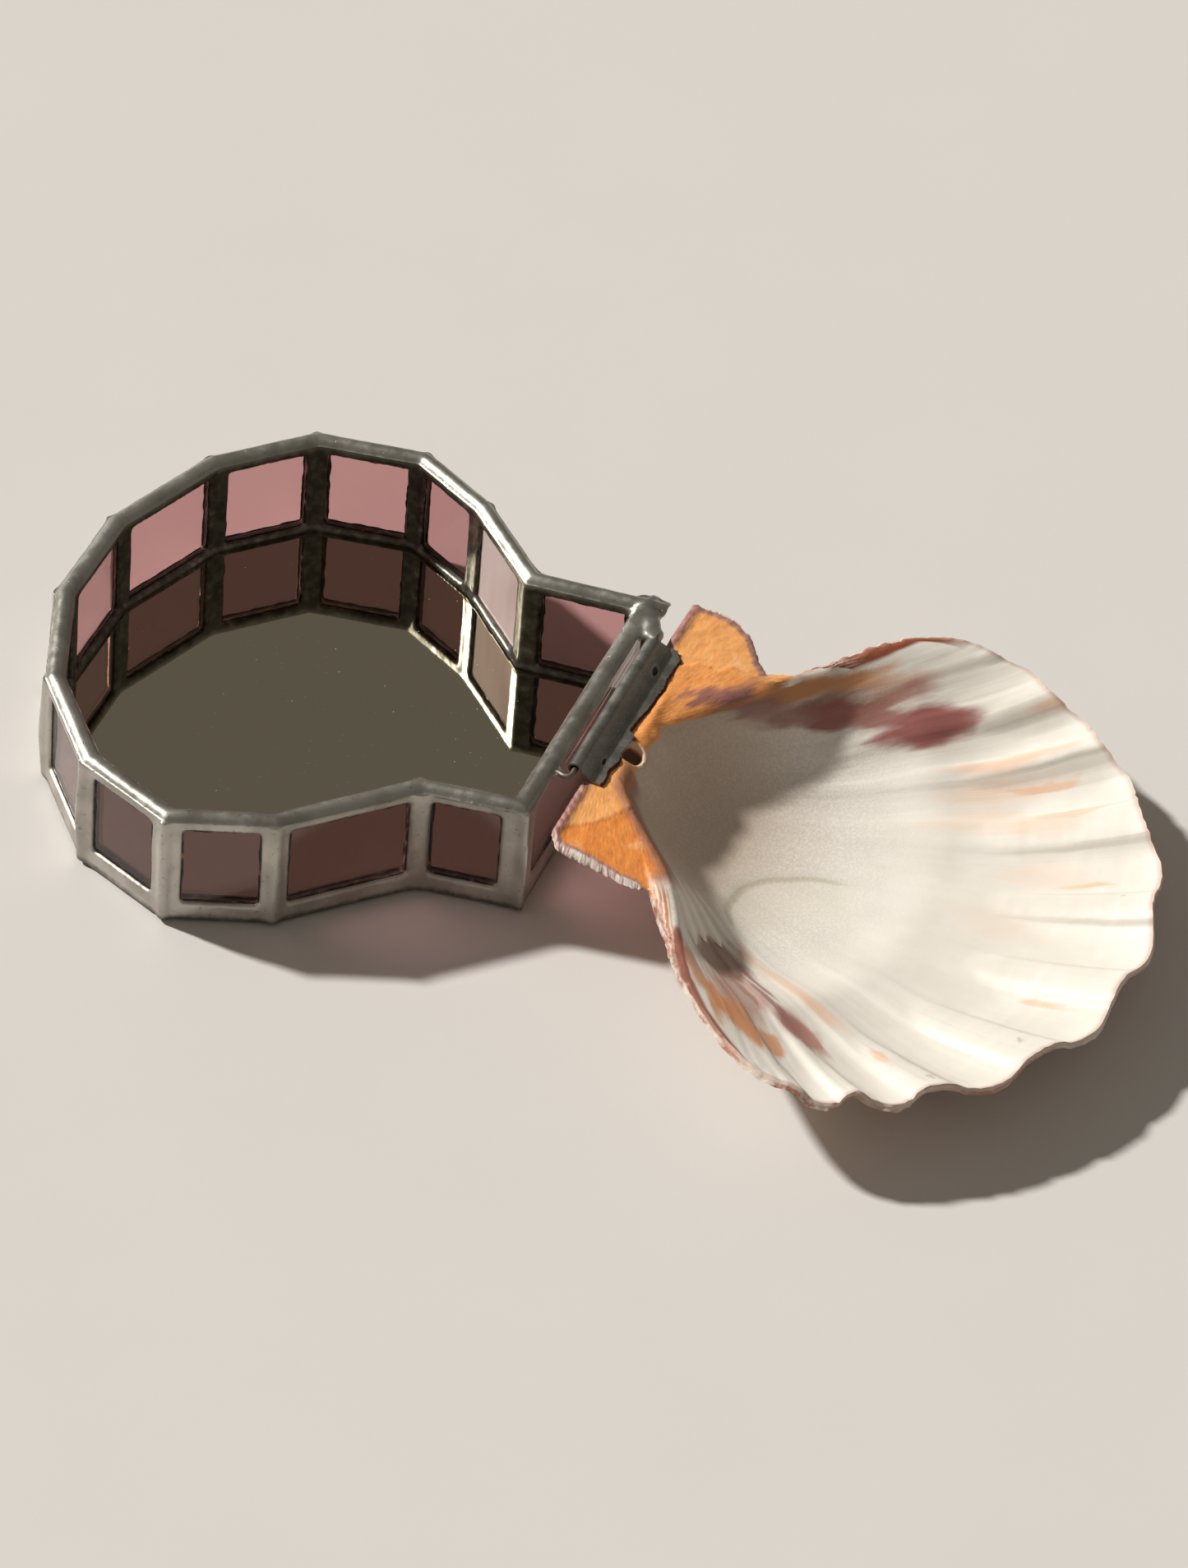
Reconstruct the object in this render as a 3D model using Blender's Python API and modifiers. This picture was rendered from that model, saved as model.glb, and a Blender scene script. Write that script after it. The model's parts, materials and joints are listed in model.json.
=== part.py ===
# Glass trinket box: pink glass panels in a soldered frame round a mirror base, with a scallop
# shell for a lid. The shell is hinged on a wire along the neck and lies open, hollow side up.
# Metres, +Z up. The origin is under the middle of the round chamber, on the table.
# The lid's pieces are drawn round their hinge axis: U runs away from the box, V along the hinge
# and W up, with the shell's rim flat, and an empty on the axis tilts them to where they lie.

import math

import bmesh
import bpy
from mathutils import Vector

# Plan of the walls, along the middle of the glass
round_width = 0.1228
round_depth = 0.0426
hinge_wall_x = 0.0652
neck_length = 0.0223
neck_width = 0.067
neck_shift = 0.0054
waist_width = 0.0677
waist_shift = 0.0024
waist_skew = 0.0041
# Corners of the round chamber, as shares of its depth and of half its width
round_corners = (
    (0.549, 0.853), (0.141, 1.0), (-0.383, 0.932), (-0.765, 0.661), (-1.0, 0.235),
    (-1.0, -0.168), (-0.784, -0.565), (-0.394, -0.870), (0.089, -1.0), (0.545, -0.870),
)

# Walls, base and solder
box_height = 0.0283
glass_thickness = 0.0024
mirror_thickness = 0.003
mirror_reach = 0.001
backing_thickness = 0.0001
backing_slope = 0.0003
glass_gap = 0.0003
foil_thickness = 0.0005
side_overlap = 0.0012
top_overlap = 0.0019
bottom_overlap = 0.0012
bead_width = 0.0044
bead_height = 0.0017
seam_core = 0.0007
seam_reach = 0.0021
seam_rise = 0.0014
base_bead = 0.0012
foot_round = 0.0010
cutter_play = 0.001
seam_steps = 2
bead_steps = 6

# Hinge
pin_radius = 0.0008
pin_clearance = 0.00035
plate_thickness = 0.00045
plate_reach = 0.0063
plate_front_y = -0.0138
plate_back_y = 0.0299
pin_bend = 0.0012
pin_bend_share = 0.3
hinge_offset = 0.0056
plate_clearance = 0.0004
pin_end_gap = 0.0013
curl_angle = math.radians(300)
curl_steps = 15

# Shell, in the lid's own frame
shell_hinge_u = 0.0021
shell_pole_v = -0.001
shell_seat_gap = 0.0003
disc_radius = 0.0722
disc_centre_u = 0.0437
disc_centre_v = -0.0030
side_angle = math.radians(56)
wall_angle = math.radians(2.4)
outer_depth = 0.0188
inner_depth = 0.0164
hinge_band = 0.0070
# Powers of the rise from the umbo and of the fall to the margin, under and inside the bowl
outer_bowl = (0.55, 0.95)
inner_bowl = (0.6, 1.0)
ear_thickness = 0.0019
margin_drop = 0.0012
margin_inset = 0.0010
back_shoulder = (0.0126, 5.0)
front_shoulder = (0.028, 3.2)
shoulder_start = math.radians(44)
rib_angles = (44.5, 35.5, 26.0, 13.0, 1.0, -12.0, -25.5, -36.3, -43.4)
rib_depth = 0.0024
rib_fade = 8.0
rib_lobe = 0.0022
rib_lobe_mean = 0.35
inner_rib_power = 3
notch_share = 0.66
# Outline of each ear from the hinge line round to its notch: degrees from the shell's middle
# line, and distance from the umbo
back_ear = ((90, 0.0475), (84.5, 0.0482), (79, 0.0486), (73.5, 0.0472), (66, 0.0430), (60, 0.0412))
front_ear = ((90, 0.0296), (82, 0.0328), (75, 0.0346), (68, 0.0365), (61, 0.0392))
fan_columns = 72
near_rows = 8
far_rows = 5
row_crowding = 1.5
crease_angle = math.radians(50)
table_gap = 0.0002
tilt_limits = (math.radians(-20), math.radians(40))

# Fits that follow from those sizes
slot_half = glass_thickness / 2 + glass_gap
wall_half = slot_half + foil_thickness
mirror_bottom = foil_thickness + glass_gap
mirror_top = mirror_bottom + mirror_thickness
panel_bottom = mirror_top + glass_gap
window_bottom = panel_bottom + bottom_overlap
window_top = box_height - bead_height - top_overlap
panel_top = window_top + top_overlap
curl_radius = pin_radius + pin_clearance + plate_thickness
axis_x = hinge_wall_x + hinge_offset
axis_z = box_height + plate_clearance - (curl_radius - plate_thickness)
rim_w = -curl_radius - shell_seat_gap


def clear_scene():
    for old in list(bpy.data.objects):
        bpy.data.objects.remove(old)


def new_collection(name):
    made = bpy.data.collections.new(name)
    bpy.context.scene.collection.children.link(made)
    return made


def new_material(name, colour, roughness, metallic=0.0, transmission=0.0):
    material = bpy.data.materials.new(name)
    material.use_nodes = True
    shader = material.node_tree.nodes["Principled BSDF"]
    shader.inputs["Base Color"].default_value = (*colour, 1.0)
    shader.inputs["Roughness"].default_value = roughness
    shader.inputs["Metallic"].default_value = metallic
    shader.inputs["Transmission Weight"].default_value = transmission
    return material


def add_object(name, data, collection, material=None):
    made = bpy.data.objects.new(name, data)
    collection.objects.link(made)
    if material:
        data.materials.append(material)
    return made


def mesh_from(bm, name):
    mesh = bpy.data.meshes.new(name)
    bm.to_mesh(mesh)
    bm.free()
    return mesh


# Plan of the box

def plan_corners():
    # Anticlockwise, from the front corner of the hinge wall
    waist_x = hinge_wall_x - neck_length
    hinge_front = Vector((hinge_wall_x, neck_shift - neck_width / 2))
    hinge_back = Vector((hinge_wall_x, neck_shift + neck_width / 2))
    waist_back = Vector((waist_x - waist_skew / 2, waist_shift + waist_width / 2))
    waist_front = Vector((waist_x + waist_skew / 2, waist_shift - waist_width / 2))
    chamber = [Vector((x * round_depth, y * round_width / 2)) for x, y in round_corners]
    return [hinge_front, hinge_back, waist_back, *chamber, waist_front]


def outward(start, end):
    along = (end - start).normalized()
    return math.atan2(-along.x, along.y)


def corner_turns():
    # Each corner with the outward angle of the wall before it and how far the wall turns there
    corners = plan_corners()
    turns = []
    for i, here in enumerate(corners):
        before = outward(corners[i - 1], here)
        after = outward(here, corners[(i + 1) % len(corners)])
        turn = (after - before + math.pi) % (2 * math.pi) - math.pi
        turns.append((here, before, turn))
    return turns


def wall_line(offset, seam_lift=0.0):
    # The plan moved outward by offset; seam_lift raises a rounded seam over every corner
    points = []
    for here, before, turn in corner_turns():
        middle = before + turn / 2
        mitre = Vector((math.cos(middle), math.sin(middle)))
        corner = here + mitre * offset / math.cos(turn / 2)
        for step in range(-seam_steps, seam_steps + 1):
            face = before if step < 0 else before + turn
            along = Vector((-math.sin(face), math.cos(face)))
            share = step / seam_steps
            lift = seam_lift * math.cos(share * math.pi / 2)
            points.append(corner + along * seam_reach * share + mitre * lift)
    return points


def wall_runs():
    # Each wall's start corner, direction, length, and how far its glass stops short of each end
    turns = corner_turns()
    short = [slot_half * math.tan(abs(turn) / 2) + glass_gap + seam_core for _, _, turn in turns]
    runs = []
    for i, (here, _, _) in enumerate(turns):
        j = (i + 1) % len(turns)
        along = turns[j][0] - here
        runs.append((here, along.normalized(), along.length, short[i], short[j]))
    return runs


# Solder frame

def frame_profile():
    # Wall section: distance out from the middle of the glass, height, and lift of the corner seams
    bead_half = bead_width / 2
    bead_middle = box_height - bead_height / 2
    bead = []
    for step in range(bead_steps + 1):
        angle = math.pi * step / bead_steps
        height = bead_middle + bead_height / 2 * math.sin(angle)
        bead.append((bead_half * math.cos(angle), height, 0))
    shoulder = bead_middle - bead_height / 2
    pocket = mirror_reach + glass_gap
    return [
        (wall_half - foot_round, 0, 0), (wall_half, foot_round, seam_rise / 2),
        (wall_half, shoulder / 2, seam_rise), (wall_half, shoulder, seam_rise / 2),
        *bead, (-wall_half, shoulder, 0),
        (-wall_half, panel_bottom + base_bead, 0), (-wall_half - base_bead, panel_bottom, 0),
        (pocket, panel_bottom, 0), (pocket, foil_thickness, 0),
        (-wall_half, foil_thickness, 0), (-wall_half, 0, 0),
    ]


def swept_ring(name, profile):
    bm = bmesh.new()
    loops = []
    for offset, height, lift in profile:
        loops.append([bm.verts.new((p.x, p.y, height)) for p in wall_line(offset, lift)])
    for lower, upper in zip(loops, loops[1:] + loops[:1]):
        for i in range(len(lower)):
            bm.faces.new((lower[i - 1], lower[i], upper[i], upper[i - 1]))
    bmesh.ops.recalc_face_normals(bm, faces=bm.faces)
    bmesh.ops.triangulate(bm, faces=bm.faces)
    return mesh_from(bm, name)


def wall_boxes(name, end_grow, thickness, bottom, top, collection):
    # One box for each wall, all in one mesh; end_grow lengthens them past the glass at each end
    bm = bmesh.new()
    for start, along, length, short_start, short_end in wall_runs():
        first = short_start - end_grow
        last = length - short_end + end_grow
        corners = bmesh.ops.create_cube(bm, size=1.0)["verts"]
        across = Vector((-along.y, along.x))
        for corner in corners:
            x, y, z = corner.co
            place = start + along * ((first + last) / 2 + x * (last - first)) + across * y * thickness
            corner.co = (place.x, place.y, (bottom + top) / 2 + z * (top - bottom))
    made = add_object(name, mesh_from(bm, name), collection)
    made.hide_render = True
    made.display_type = "WIRE"
    return made


def cut(target, cutter):
    modifier = target.modifiers.new(cutter.name, "BOOLEAN")
    modifier.operation = "DIFFERENCE"
    modifier.solver = "EXACT"
    modifier.object = cutter


def make_frame(collection, cutters, material):
    frame = add_object("solder_frame", swept_ring("solder_frame", frame_profile()), collection, material)
    windows = wall_boxes("window_cutter", -side_overlap, 2 * (wall_half + cutter_play),
                         window_bottom, window_top, cutters)
    slots = wall_boxes("slot_cutter", glass_gap, 2 * slot_half,
                       panel_bottom - glass_gap, panel_top + glass_gap, cutters)
    cut(frame, slots)
    cut(frame, windows)
    return frame


def make_panels(collection, material):
    for number, (start, along, length, short_start, short_end) in enumerate(wall_runs(), 1):
        run = length - short_start - short_end
        middle = start + along * (short_start + run / 2)
        bpy.ops.mesh.primitive_cube_add(size=1.0)
        panel = bpy.context.object
        panel.name = f"glass_panel_{number:02d}"
        panel.data.name = panel.name
        for corner in panel.data.vertices:
            corner.co.x *= run
            corner.co.y *= glass_thickness
            corner.co.z *= panel_top - panel_bottom
        panel.location = (middle.x, middle.y, (panel_top + panel_bottom) / 2)
        panel.rotation_euler.z = math.atan2(along.y, along.x)
        for home in list(panel.users_collection):
            home.objects.unlink(panel)
        collection.objects.link(panel)
        panel.data.materials.append(material)


def make_mirror(collection, material):
    # A plate cut to the plan; the thin backing under it stops short of the foil folded round its edge
    backing_reach = -wall_half - glass_gap
    levels = [
        (backing_reach - backing_slope, -backing_thickness), (backing_reach, 0),
        (mirror_reach, 0), (mirror_reach, mirror_thickness),
    ]
    bm = bmesh.new()
    loops = [[bm.verts.new((p.x, p.y, height)) for p in wall_line(reach)] for reach, height in levels]
    for lower, upper in zip(loops, loops[1:]):
        for i in range(len(lower)):
            bm.faces.new((lower[i - 1], lower[i], upper[i], upper[i - 1]))
    bm.faces.new(loops[0])
    bm.faces.new(loops[-1])
    bmesh.ops.recalc_face_normals(bm, faces=bm.faces)
    mirror = add_object("mirror_base", mesh_from(bm, "mirror_base"), collection, material)
    mirror.location.z = mirror_bottom
    return mirror


# Hinge

def make_pin(collection, material):
    # A wire along the axis, its two ends bent over to the rim where they are soldered
    end_x = hinge_wall_x + bead_width / 2 + glass_gap
    end_z = box_height - bead_height / 2
    corner = pin_bend_share * pin_bend
    front_y = plate_front_y - pin_end_gap
    back_y = plate_back_y + pin_end_gap
    route = [
        (end_x, front_y, end_z), (axis_x - pin_bend, front_y, axis_z),
        (axis_x - corner, front_y + corner, axis_z), (axis_x, front_y + pin_bend, axis_z),
        (axis_x, back_y - pin_bend, axis_z), (axis_x - corner, back_y - corner, axis_z),
        (axis_x - pin_bend, back_y, axis_z), (end_x, back_y, end_z),
    ]
    wire = bpy.data.curves.new("hinge_pin", "CURVE")
    wire.dimensions = "3D"
    wire.bevel_depth = pin_radius
    wire.bevel_resolution = 2
    wire.use_fill_caps = True
    spline = wire.splines.new("POLY")
    spline.points.add(len(route) - 1)
    for knot, point in zip(spline.points, route):
        knot.co = (*point, 1)
    return add_object("hinge_pin", wire, collection, material)


def make_plate(collection, material, pivot):
    # A thin sheet, its edge curled round the wire and its flat seated on the shell's hinge band
    sheet_radius = curl_radius - plate_thickness / 2
    section = [(plate_reach, -sheet_radius)]
    for step in range(curl_steps + 1):
        angle = -math.pi / 2 - curl_angle * step / curl_steps
        section.append((sheet_radius * math.cos(angle), sheet_radius * math.sin(angle)))
    bm = bmesh.new()
    front = [bm.verts.new((u, plate_front_y, w)) for u, w in section]
    back = [bm.verts.new((u, plate_back_y, w)) for u, w in section]
    for i in range(1, len(section)):
        bm.faces.new((front[i - 1], front[i], back[i], back[i - 1]))
    plate = add_object("hinge_plate", mesh_from(bm, "hinge_plate"), collection, material)
    solidify = plate.modifiers.new("sheet", "SOLIDIFY")
    solidify.thickness = plate_thickness
    solidify.offset = 0
    solidify.use_even_offset = True
    plate.parent = pivot
    return plate


# Scallop shell

def rib_wave(angle):
    # 0 on the flats between the ribs and 1 along the middle of each rib, fading at the sides
    degrees = math.degrees(angle)
    nearest = min(rib_angles, key=lambda middle: abs(middle - degrees))
    place = rib_angles.index(nearest)
    gaps = [abs(nearest - rib_angles[k]) for k in (place - 1, place + 1) if 0 <= k < len(rib_angles)]
    half_gap = sum(gaps) / len(gaps) / 2
    phase = min(abs(nearest - degrees) / half_gap, 1.0)
    fade = min(max((math.degrees(side_angle) - abs(degrees)) / rib_fade, 0.0), 1.0)
    return fade * (0.5 + 0.5 * math.cos(math.pi * phase))


def fan_reach(angle):
    # Distance from the umbo to the fan's margin: a disc whose shoulders round in to the sides
    across = disc_centre_u * math.cos(angle) + disc_centre_v * math.sin(angle)
    centre_square = disc_centre_u ** 2 + disc_centre_v ** 2
    reach = across + math.sqrt(across ** 2 - centre_square + disc_radius ** 2)
    loss, power = back_shoulder if angle > 0 else front_shoulder
    past = max(abs(angle) - shoulder_start, 0.0) / (side_angle - shoulder_start)
    return reach - loss * past ** power + rib_lobe * (rib_wave(angle) - rib_lobe_mean)


def bowl_rise(share, powers):
    # 0 at both ends of a ray and 1 at its deepest place
    if share <= 0 or share >= 1:
        return 0.0
    rise, fall = powers
    deepest = rise / (rise + fall)
    scale = deepest ** rise * (1 - deepest) ** fall
    return share ** rise * (1 - share) ** fall / scale


def row_shares():
    near = [notch_share * (row / near_rows) ** row_crowding for row in range(near_rows + 1)]
    far = [notch_share + (1 - notch_share) * row / far_rows for row in range(1, far_rows + 1)]
    return near + far


def shell_place(angle, distance, depth):
    u = shell_hinge_u + distance * math.cos(angle)
    v = shell_pole_v + distance * math.sin(angle)
    return Vector((u, v, rim_w - depth))


def fan_place(swing, share, outer):
    # swing is -1 to 1 across the fan; share is 0 at the umbo and 1 at the margin
    full_angle = side_angle * math.sin(swing * math.pi / 2)
    roundness = math.cos(swing * math.pi / 2)
    wave = rib_wave(full_angle)
    reach = fan_reach(full_angle)
    if outer:
        edge = ear_thickness + (margin_drop - ear_thickness) * share
        depth = edge + outer_depth * bowl_rise(share, outer_bowl) * roundness
        depth += rib_depth * wave * share
        return shell_place(full_angle, reach * share, depth)
    reach -= margin_inset
    angle = full_angle * (side_angle - wall_angle) / side_angle
    band = hinge_band / reach
    inside = (share - band) / (1 - band)
    depth = inner_depth * bowl_rise(inside, inner_bowl) * roundness
    depth += rib_depth * wave * share ** inner_rib_power
    return shell_place(angle, reach * share, depth)


def ear_place(angle, reach, share, outer):
    # angle is signed; the inner face's ears start nearer the middle by the wall's angle
    if outer:
        edge = ear_thickness + (margin_drop - ear_thickness) * share
        return shell_place(angle, reach * share / notch_share, edge)
    side = math.copysign(1, angle)
    right_angle = math.pi / 2
    swing = (right_angle - abs(angle)) / (right_angle - side_angle)
    inner_angle = right_angle - swing * (right_angle - side_angle + wall_angle)
    return shell_place(side * inner_angle, reach * share / notch_share, 0)


def shell_columns(outer):
    # Columns of places from the back ear round to the front one, each from the umbo outwards
    shares = row_shares()
    ear_shares = shares[:near_rows + 1]
    columns = []
    for angle, reach in back_ear:
        columns.append([ear_place(math.radians(angle), reach, share, outer) for share in ear_shares])
    for column in range(fan_columns + 1):
        swing = 1 - 2 * column / fan_columns
        columns.append([fan_place(swing, share, outer) for share in shares])
    for angle, reach in reversed(front_ear):
        columns.append([ear_place(-math.radians(angle), reach, share, outer) for share in ear_shares])
    return columns


def add_surface(bm, columns):
    # Faces between neighbouring columns, which all start from the umbo
    umbo = bm.verts.new(columns[0][0])
    grid = [[umbo] + [bm.verts.new(place) for place in column[1:]] for column in columns]
    faces = []
    for left, right in zip(grid, grid[1:]):
        faces.append(bm.faces.new((umbo, right[1], left[1])))
        for row in range(1, min(len(left), len(right)) - 1):
            faces.append(bm.faces.new((left[row], right[row], right[row + 1], left[row + 1])))
    return grid, faces


def make_shell(collection, material, pivot):
    bm = bmesh.new()
    top_grid, top_faces = add_surface(bm, shell_columns(outer=False))
    under_grid, _ = add_surface(bm, shell_columns(outer=True))
    below = {}
    for top_column, under_column in zip(top_grid, under_grid):
        below.update(zip(top_column, under_column))
    rim = [edge for face in top_faces for edge in face.edges if len(edge.link_faces) == 1]
    for edge in rim:
        first, second = edge.verts
        bm.faces.new((first, second, below[second], below[first]))
    bmesh.ops.recalc_face_normals(bm, faces=bm.faces)
    shell = add_object("scallop_shell", mesh_from(bm, "scallop_shell"), collection, material)
    shell.data.shade_smooth()
    shell.data.set_sharp_from_angle(angle=crease_angle)
    shell.parent = pivot
    return shell


def rest_tilt(places):
    # How far past flat the lid swings before the shell's belly meets the table
    low, high = tilt_limits
    for _ in range(40):
        middle = (low + high) / 2
        lowest = min(axis_z - p.x * math.sin(middle) + p.z * math.cos(middle) for p in places)
        low, high = (middle, high) if lowest > table_gap else (low, middle)
    return low


def main():
    clear_scene()
    parts = new_collection("glass_trinket_box")
    cutters = new_collection("cutters")
    solder = new_material("solder", (0.36, 0.35, 0.32), 0.42, metallic=1.0)
    pink_glass = new_material("pink_glass", (0.62, 0.33, 0.38), 0.08, transmission=0.9)
    silvering = new_material("silvering", (0.62, 0.61, 0.55), 0.03, metallic=1.0)
    hinge_metal = new_material("hinge_metal", (0.20, 0.20, 0.20), 0.38, metallic=1.0)
    pin_metal = new_material("pin_metal", (0.45, 0.42, 0.36), 0.30, metallic=1.0)
    nacre = new_material("nacre", (0.86, 0.82, 0.76), 0.35)

    make_mirror(parts, silvering)
    make_panels(parts, pink_glass)
    make_frame(parts, cutters, solder)
    make_pin(parts, pin_metal)

    pivot = bpy.data.objects.new("lid_pivot", None)
    parts.objects.link(pivot)
    pivot.location = (axis_x, 0, axis_z)
    make_plate(parts, hinge_metal, pivot)
    make_shell(parts, nacre, pivot)
    places = [place for column in shell_columns(outer=True) for place in column]
    pivot.rotation_euler.y = rest_tilt(places)
    print("lid lies past flat by", round(math.degrees(pivot.rotation_euler.y), 2), "degrees")


main()
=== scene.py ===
# Glass trinket box, dressed: pink glass soldered round a mirror, with a scallop shell for a lid.
import json
import math

import bpy
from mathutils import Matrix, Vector, noise


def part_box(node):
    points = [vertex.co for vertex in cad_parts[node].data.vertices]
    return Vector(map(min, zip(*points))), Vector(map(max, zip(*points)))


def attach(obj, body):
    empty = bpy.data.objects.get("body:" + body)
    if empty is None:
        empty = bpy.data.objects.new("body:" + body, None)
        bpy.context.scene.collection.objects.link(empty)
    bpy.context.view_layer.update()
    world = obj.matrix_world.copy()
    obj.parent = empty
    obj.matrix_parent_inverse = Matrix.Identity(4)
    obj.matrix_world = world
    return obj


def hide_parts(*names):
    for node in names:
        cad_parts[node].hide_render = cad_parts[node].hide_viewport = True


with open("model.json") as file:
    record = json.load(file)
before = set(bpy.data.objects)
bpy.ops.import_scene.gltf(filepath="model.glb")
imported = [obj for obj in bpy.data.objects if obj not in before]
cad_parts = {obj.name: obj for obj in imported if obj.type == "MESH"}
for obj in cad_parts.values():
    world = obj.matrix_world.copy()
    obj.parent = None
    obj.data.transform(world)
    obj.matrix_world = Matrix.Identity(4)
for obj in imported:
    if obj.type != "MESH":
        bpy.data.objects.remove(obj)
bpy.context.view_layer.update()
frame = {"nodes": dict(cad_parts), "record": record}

cadNodes = frame["nodes"]
mm = 0.001


# Small helpers for modelling

def deselectAll():
    if bpy.context.mode != "OBJECT":
        bpy.ops.object.mode_set(mode="OBJECT")
    bpy.ops.object.select_all(action="DESELECT")


def pick(*pieces):
    deselectAll()
    for piece in pieces:
        piece.select_set(True)
    bpy.context.view_layer.objects.active = pieces[0]


def joinPieces(name, pieces):
    pick(*pieces)
    bpy.ops.object.join()
    joined = bpy.context.object
    joined.name = name
    joined.data.name = name
    return joined


def editAll(piece, operator, **settings):
    # Runs one of edit mode's operators on the whole mesh
    pick(piece)
    bpy.ops.object.mode_set(mode="EDIT")
    bpy.ops.mesh.select_all(action="SELECT")
    operator(**settings)
    bpy.ops.object.mode_set(mode="OBJECT")


def mergeDoubles(piece):
    editAll(piece, bpy.ops.mesh.remove_doubles, threshold=0.001 * mm)


def outwardNormals(piece):
    editAll(piece, bpy.ops.mesh.normals_make_consistent, inside=False)


def applyModifier(piece, kind, **settings):
    pick(piece)
    modifier = piece.modifiers.new(kind.lower(), kind)
    for key, value in settings.items():
        setattr(modifier, key, value)
    bpy.ops.object.modifier_apply(modifier=modifier.name)


def addBar(start, end, out, width, low, high):
    # A straight bar in plan from start to end, moved out to its right; millimetres
    along = (end - start).normalized()
    middle = (start + end) / 2 + Vector((along.y, -along.x)) * out
    bpy.ops.mesh.primitive_cube_add(
        size=1, location=(middle.x * mm, middle.y * mm, (low + high) / 2 * mm),
        rotation=(0, 0, math.atan2(along.y, along.x)),
        scale=((end - start).length * mm, width * mm, (high - low) * mm))
    return bpy.context.object


def addBlob(place, size, turn=0.0):
    # A flattened drop of solder; millimetres, turned about the upright
    bpy.ops.mesh.primitive_ico_sphere_add(
        subdivisions=3, radius=mm, location=[value * mm for value in place],
        rotation=(0, 0, math.radians(turn)), scale=size)
    return bpy.context.object


def addWire(name, route, radius, resolution=4):
    data = bpy.data.curves.new(name, "CURVE")
    data.dimensions = "3D"
    data.bevel_depth = radius * mm
    data.bevel_resolution = resolution
    data.use_fill_caps = True
    data.resolution_u = 6
    spline = data.splines.new("NURBS")
    spline.points.add(len(route) - 1)
    spline.use_endpoint_u = True
    spline.order_u = 3
    for knot, point in zip(spline.points, route):
        knot.co = (*(value * mm for value in point), 1)
    wire = bpy.data.objects.new(name, data)
    bpy.context.scene.collection.objects.link(wire)
    pick(wire)
    bpy.ops.object.convert(target="MESH")
    mergeDoubles(bpy.context.object)
    return bpy.context.object


def makeGrid(columns, rows, placeOf, attributes=()):
    # A grid whose points lie where placeOf(column, row) says; it gives each attribute's value after that
    bpy.ops.mesh.primitive_grid_add(x_subdivisions=columns, y_subdivisions=rows, size=2)
    grid = bpy.context.object
    for name in attributes:
        grid.data.attributes.new(name, "FLOAT_VECTOR", "POINT")
    kept = [grid.data.attributes[name].data for name in attributes]
    for index, vertex in enumerate(grid.data.vertices):
        column, row = [round((value + 1) / 2 * count) for value, count in zip(vertex.co, (columns, rows))]
        vertex.co, *values = placeOf(column, row)
        for data, value in zip(kept, values):
            data[index].vector = value
    return grid


def finishPiece(piece, material, body, smoothAngle=50):
    pick(piece)
    bpy.ops.object.transform_apply(location=True, rotation=True, scale=True)
    piece.data.materials.clear()
    piece.data.materials.append(material)
    bpy.ops.object.shade_smooth_by_angle(angle=math.radians(smoothAngle), keep_sharp_edges=False)
    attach(piece, body)
    deselectAll()


def smoothStep(value, low, high):
    share = min(max((value - low) / (high - low), 0.0), 1.0)
    return share * share * (3 - 2 * share)


def alongPoints(points, key):
    # The value at key on the straight lines between (key, value) points
    if key <= points[0][0]:
        return points[0][1]
    for (first, low), (second, high) in zip(points, points[1:]):
        if key <= second:
            return low + (high - low) * (key - first) / (second - first)
    return points[-1][1]


def roughAt(x, y, z=0.0, size=1.0):
    return noise.noise(Vector((x, y, z)) / size)


# Small helpers for materials; each node goes into the tree that its input sockets come from

def isSocket(value):
    return isinstance(value, bpy.types.NodeSocket)


def addNode(kind, inputs, tree=None, **settings):
    if tree is None:
        tree = next(value.id_data for value in inputs.values() if isSocket(value))
    node = tree.nodes.new("ShaderNode" + kind)
    for key, value in settings.items():
        setattr(node, key, value)
    for key, value in inputs.items():
        if isSocket(value):
            tree.links.new(value, node.inputs[key])
        else:
            node.inputs[key].default_value = value
    return node


def newMaterial(name):
    # The material, its shader, and a point's place in the piece's own coordinates
    material = bpy.data.materials.new(name)
    material.use_nodes = True
    tree = material.node_tree
    place = addNode("TexCoord", {}, tree).outputs["Object"]
    return material, tree.nodes["Principled BSDF"], place


def attributeOf(place, name):
    # An attribute kept on the mesh: the whole vector, then its three parts
    vector = addNode("Attribute", {}, place.id_data, attribute_name=name,
                     attribute_type="GEOMETRY").outputs["Vector"]
    return vector, *addNode("SeparateXYZ", {"Vector": vector}).outputs


def noiseOf(vector, size, detail=3.0, stretch=None):
    # A pattern whose features are about size millimetres across
    if stretch:
        vector = addNode("Mapping", {"Vector": vector, "Scale": stretch}).outputs[0]
    return addNode("TexNoise", {
        "Vector": vector, "Scale": 1 / (size * mm), "Detail": detail, "Roughness": 0.55,
    }).outputs["Fac"]


def cellsOf(vector, size):
    return addNode("TexVoronoi", {"Vector": vector, "Scale": 1 / (size * mm)}).outputs


def spotShare(vector, middle, size, turn=0.0):
    # 1 in the middle of an oval spot, falling to 0 at its edge
    inSpot = addNode("Mapping", {
        "Vector": vector, "Location": middle, "Rotation": (0, 0, turn), "Scale": size,
    }, vector_type="TEXTURE").outputs[0]
    return addNode("TexGradient", {"Vector": inSpot}, gradient_type="SPHERICAL").outputs["Fac"]


def between(value, low, high, start=0.0, end=1.0):
    # A smooth step from start to end, as value goes from low to high
    return addNode("MapRange", {
        "Value": value, "From Min": low, "From Max": high, "To Min": start, "To Max": end,
    }, interpolation_type="SMOOTHSTEP").outputs["Result"]


def calc(operation, *values, kind="Math"):
    return addNode(kind, dict(enumerate(values)), operation=operation).outputs[0]


def times(first, *others):
    for other in others:
        first = calc("MULTIPLY", first, other)
    return first


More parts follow.
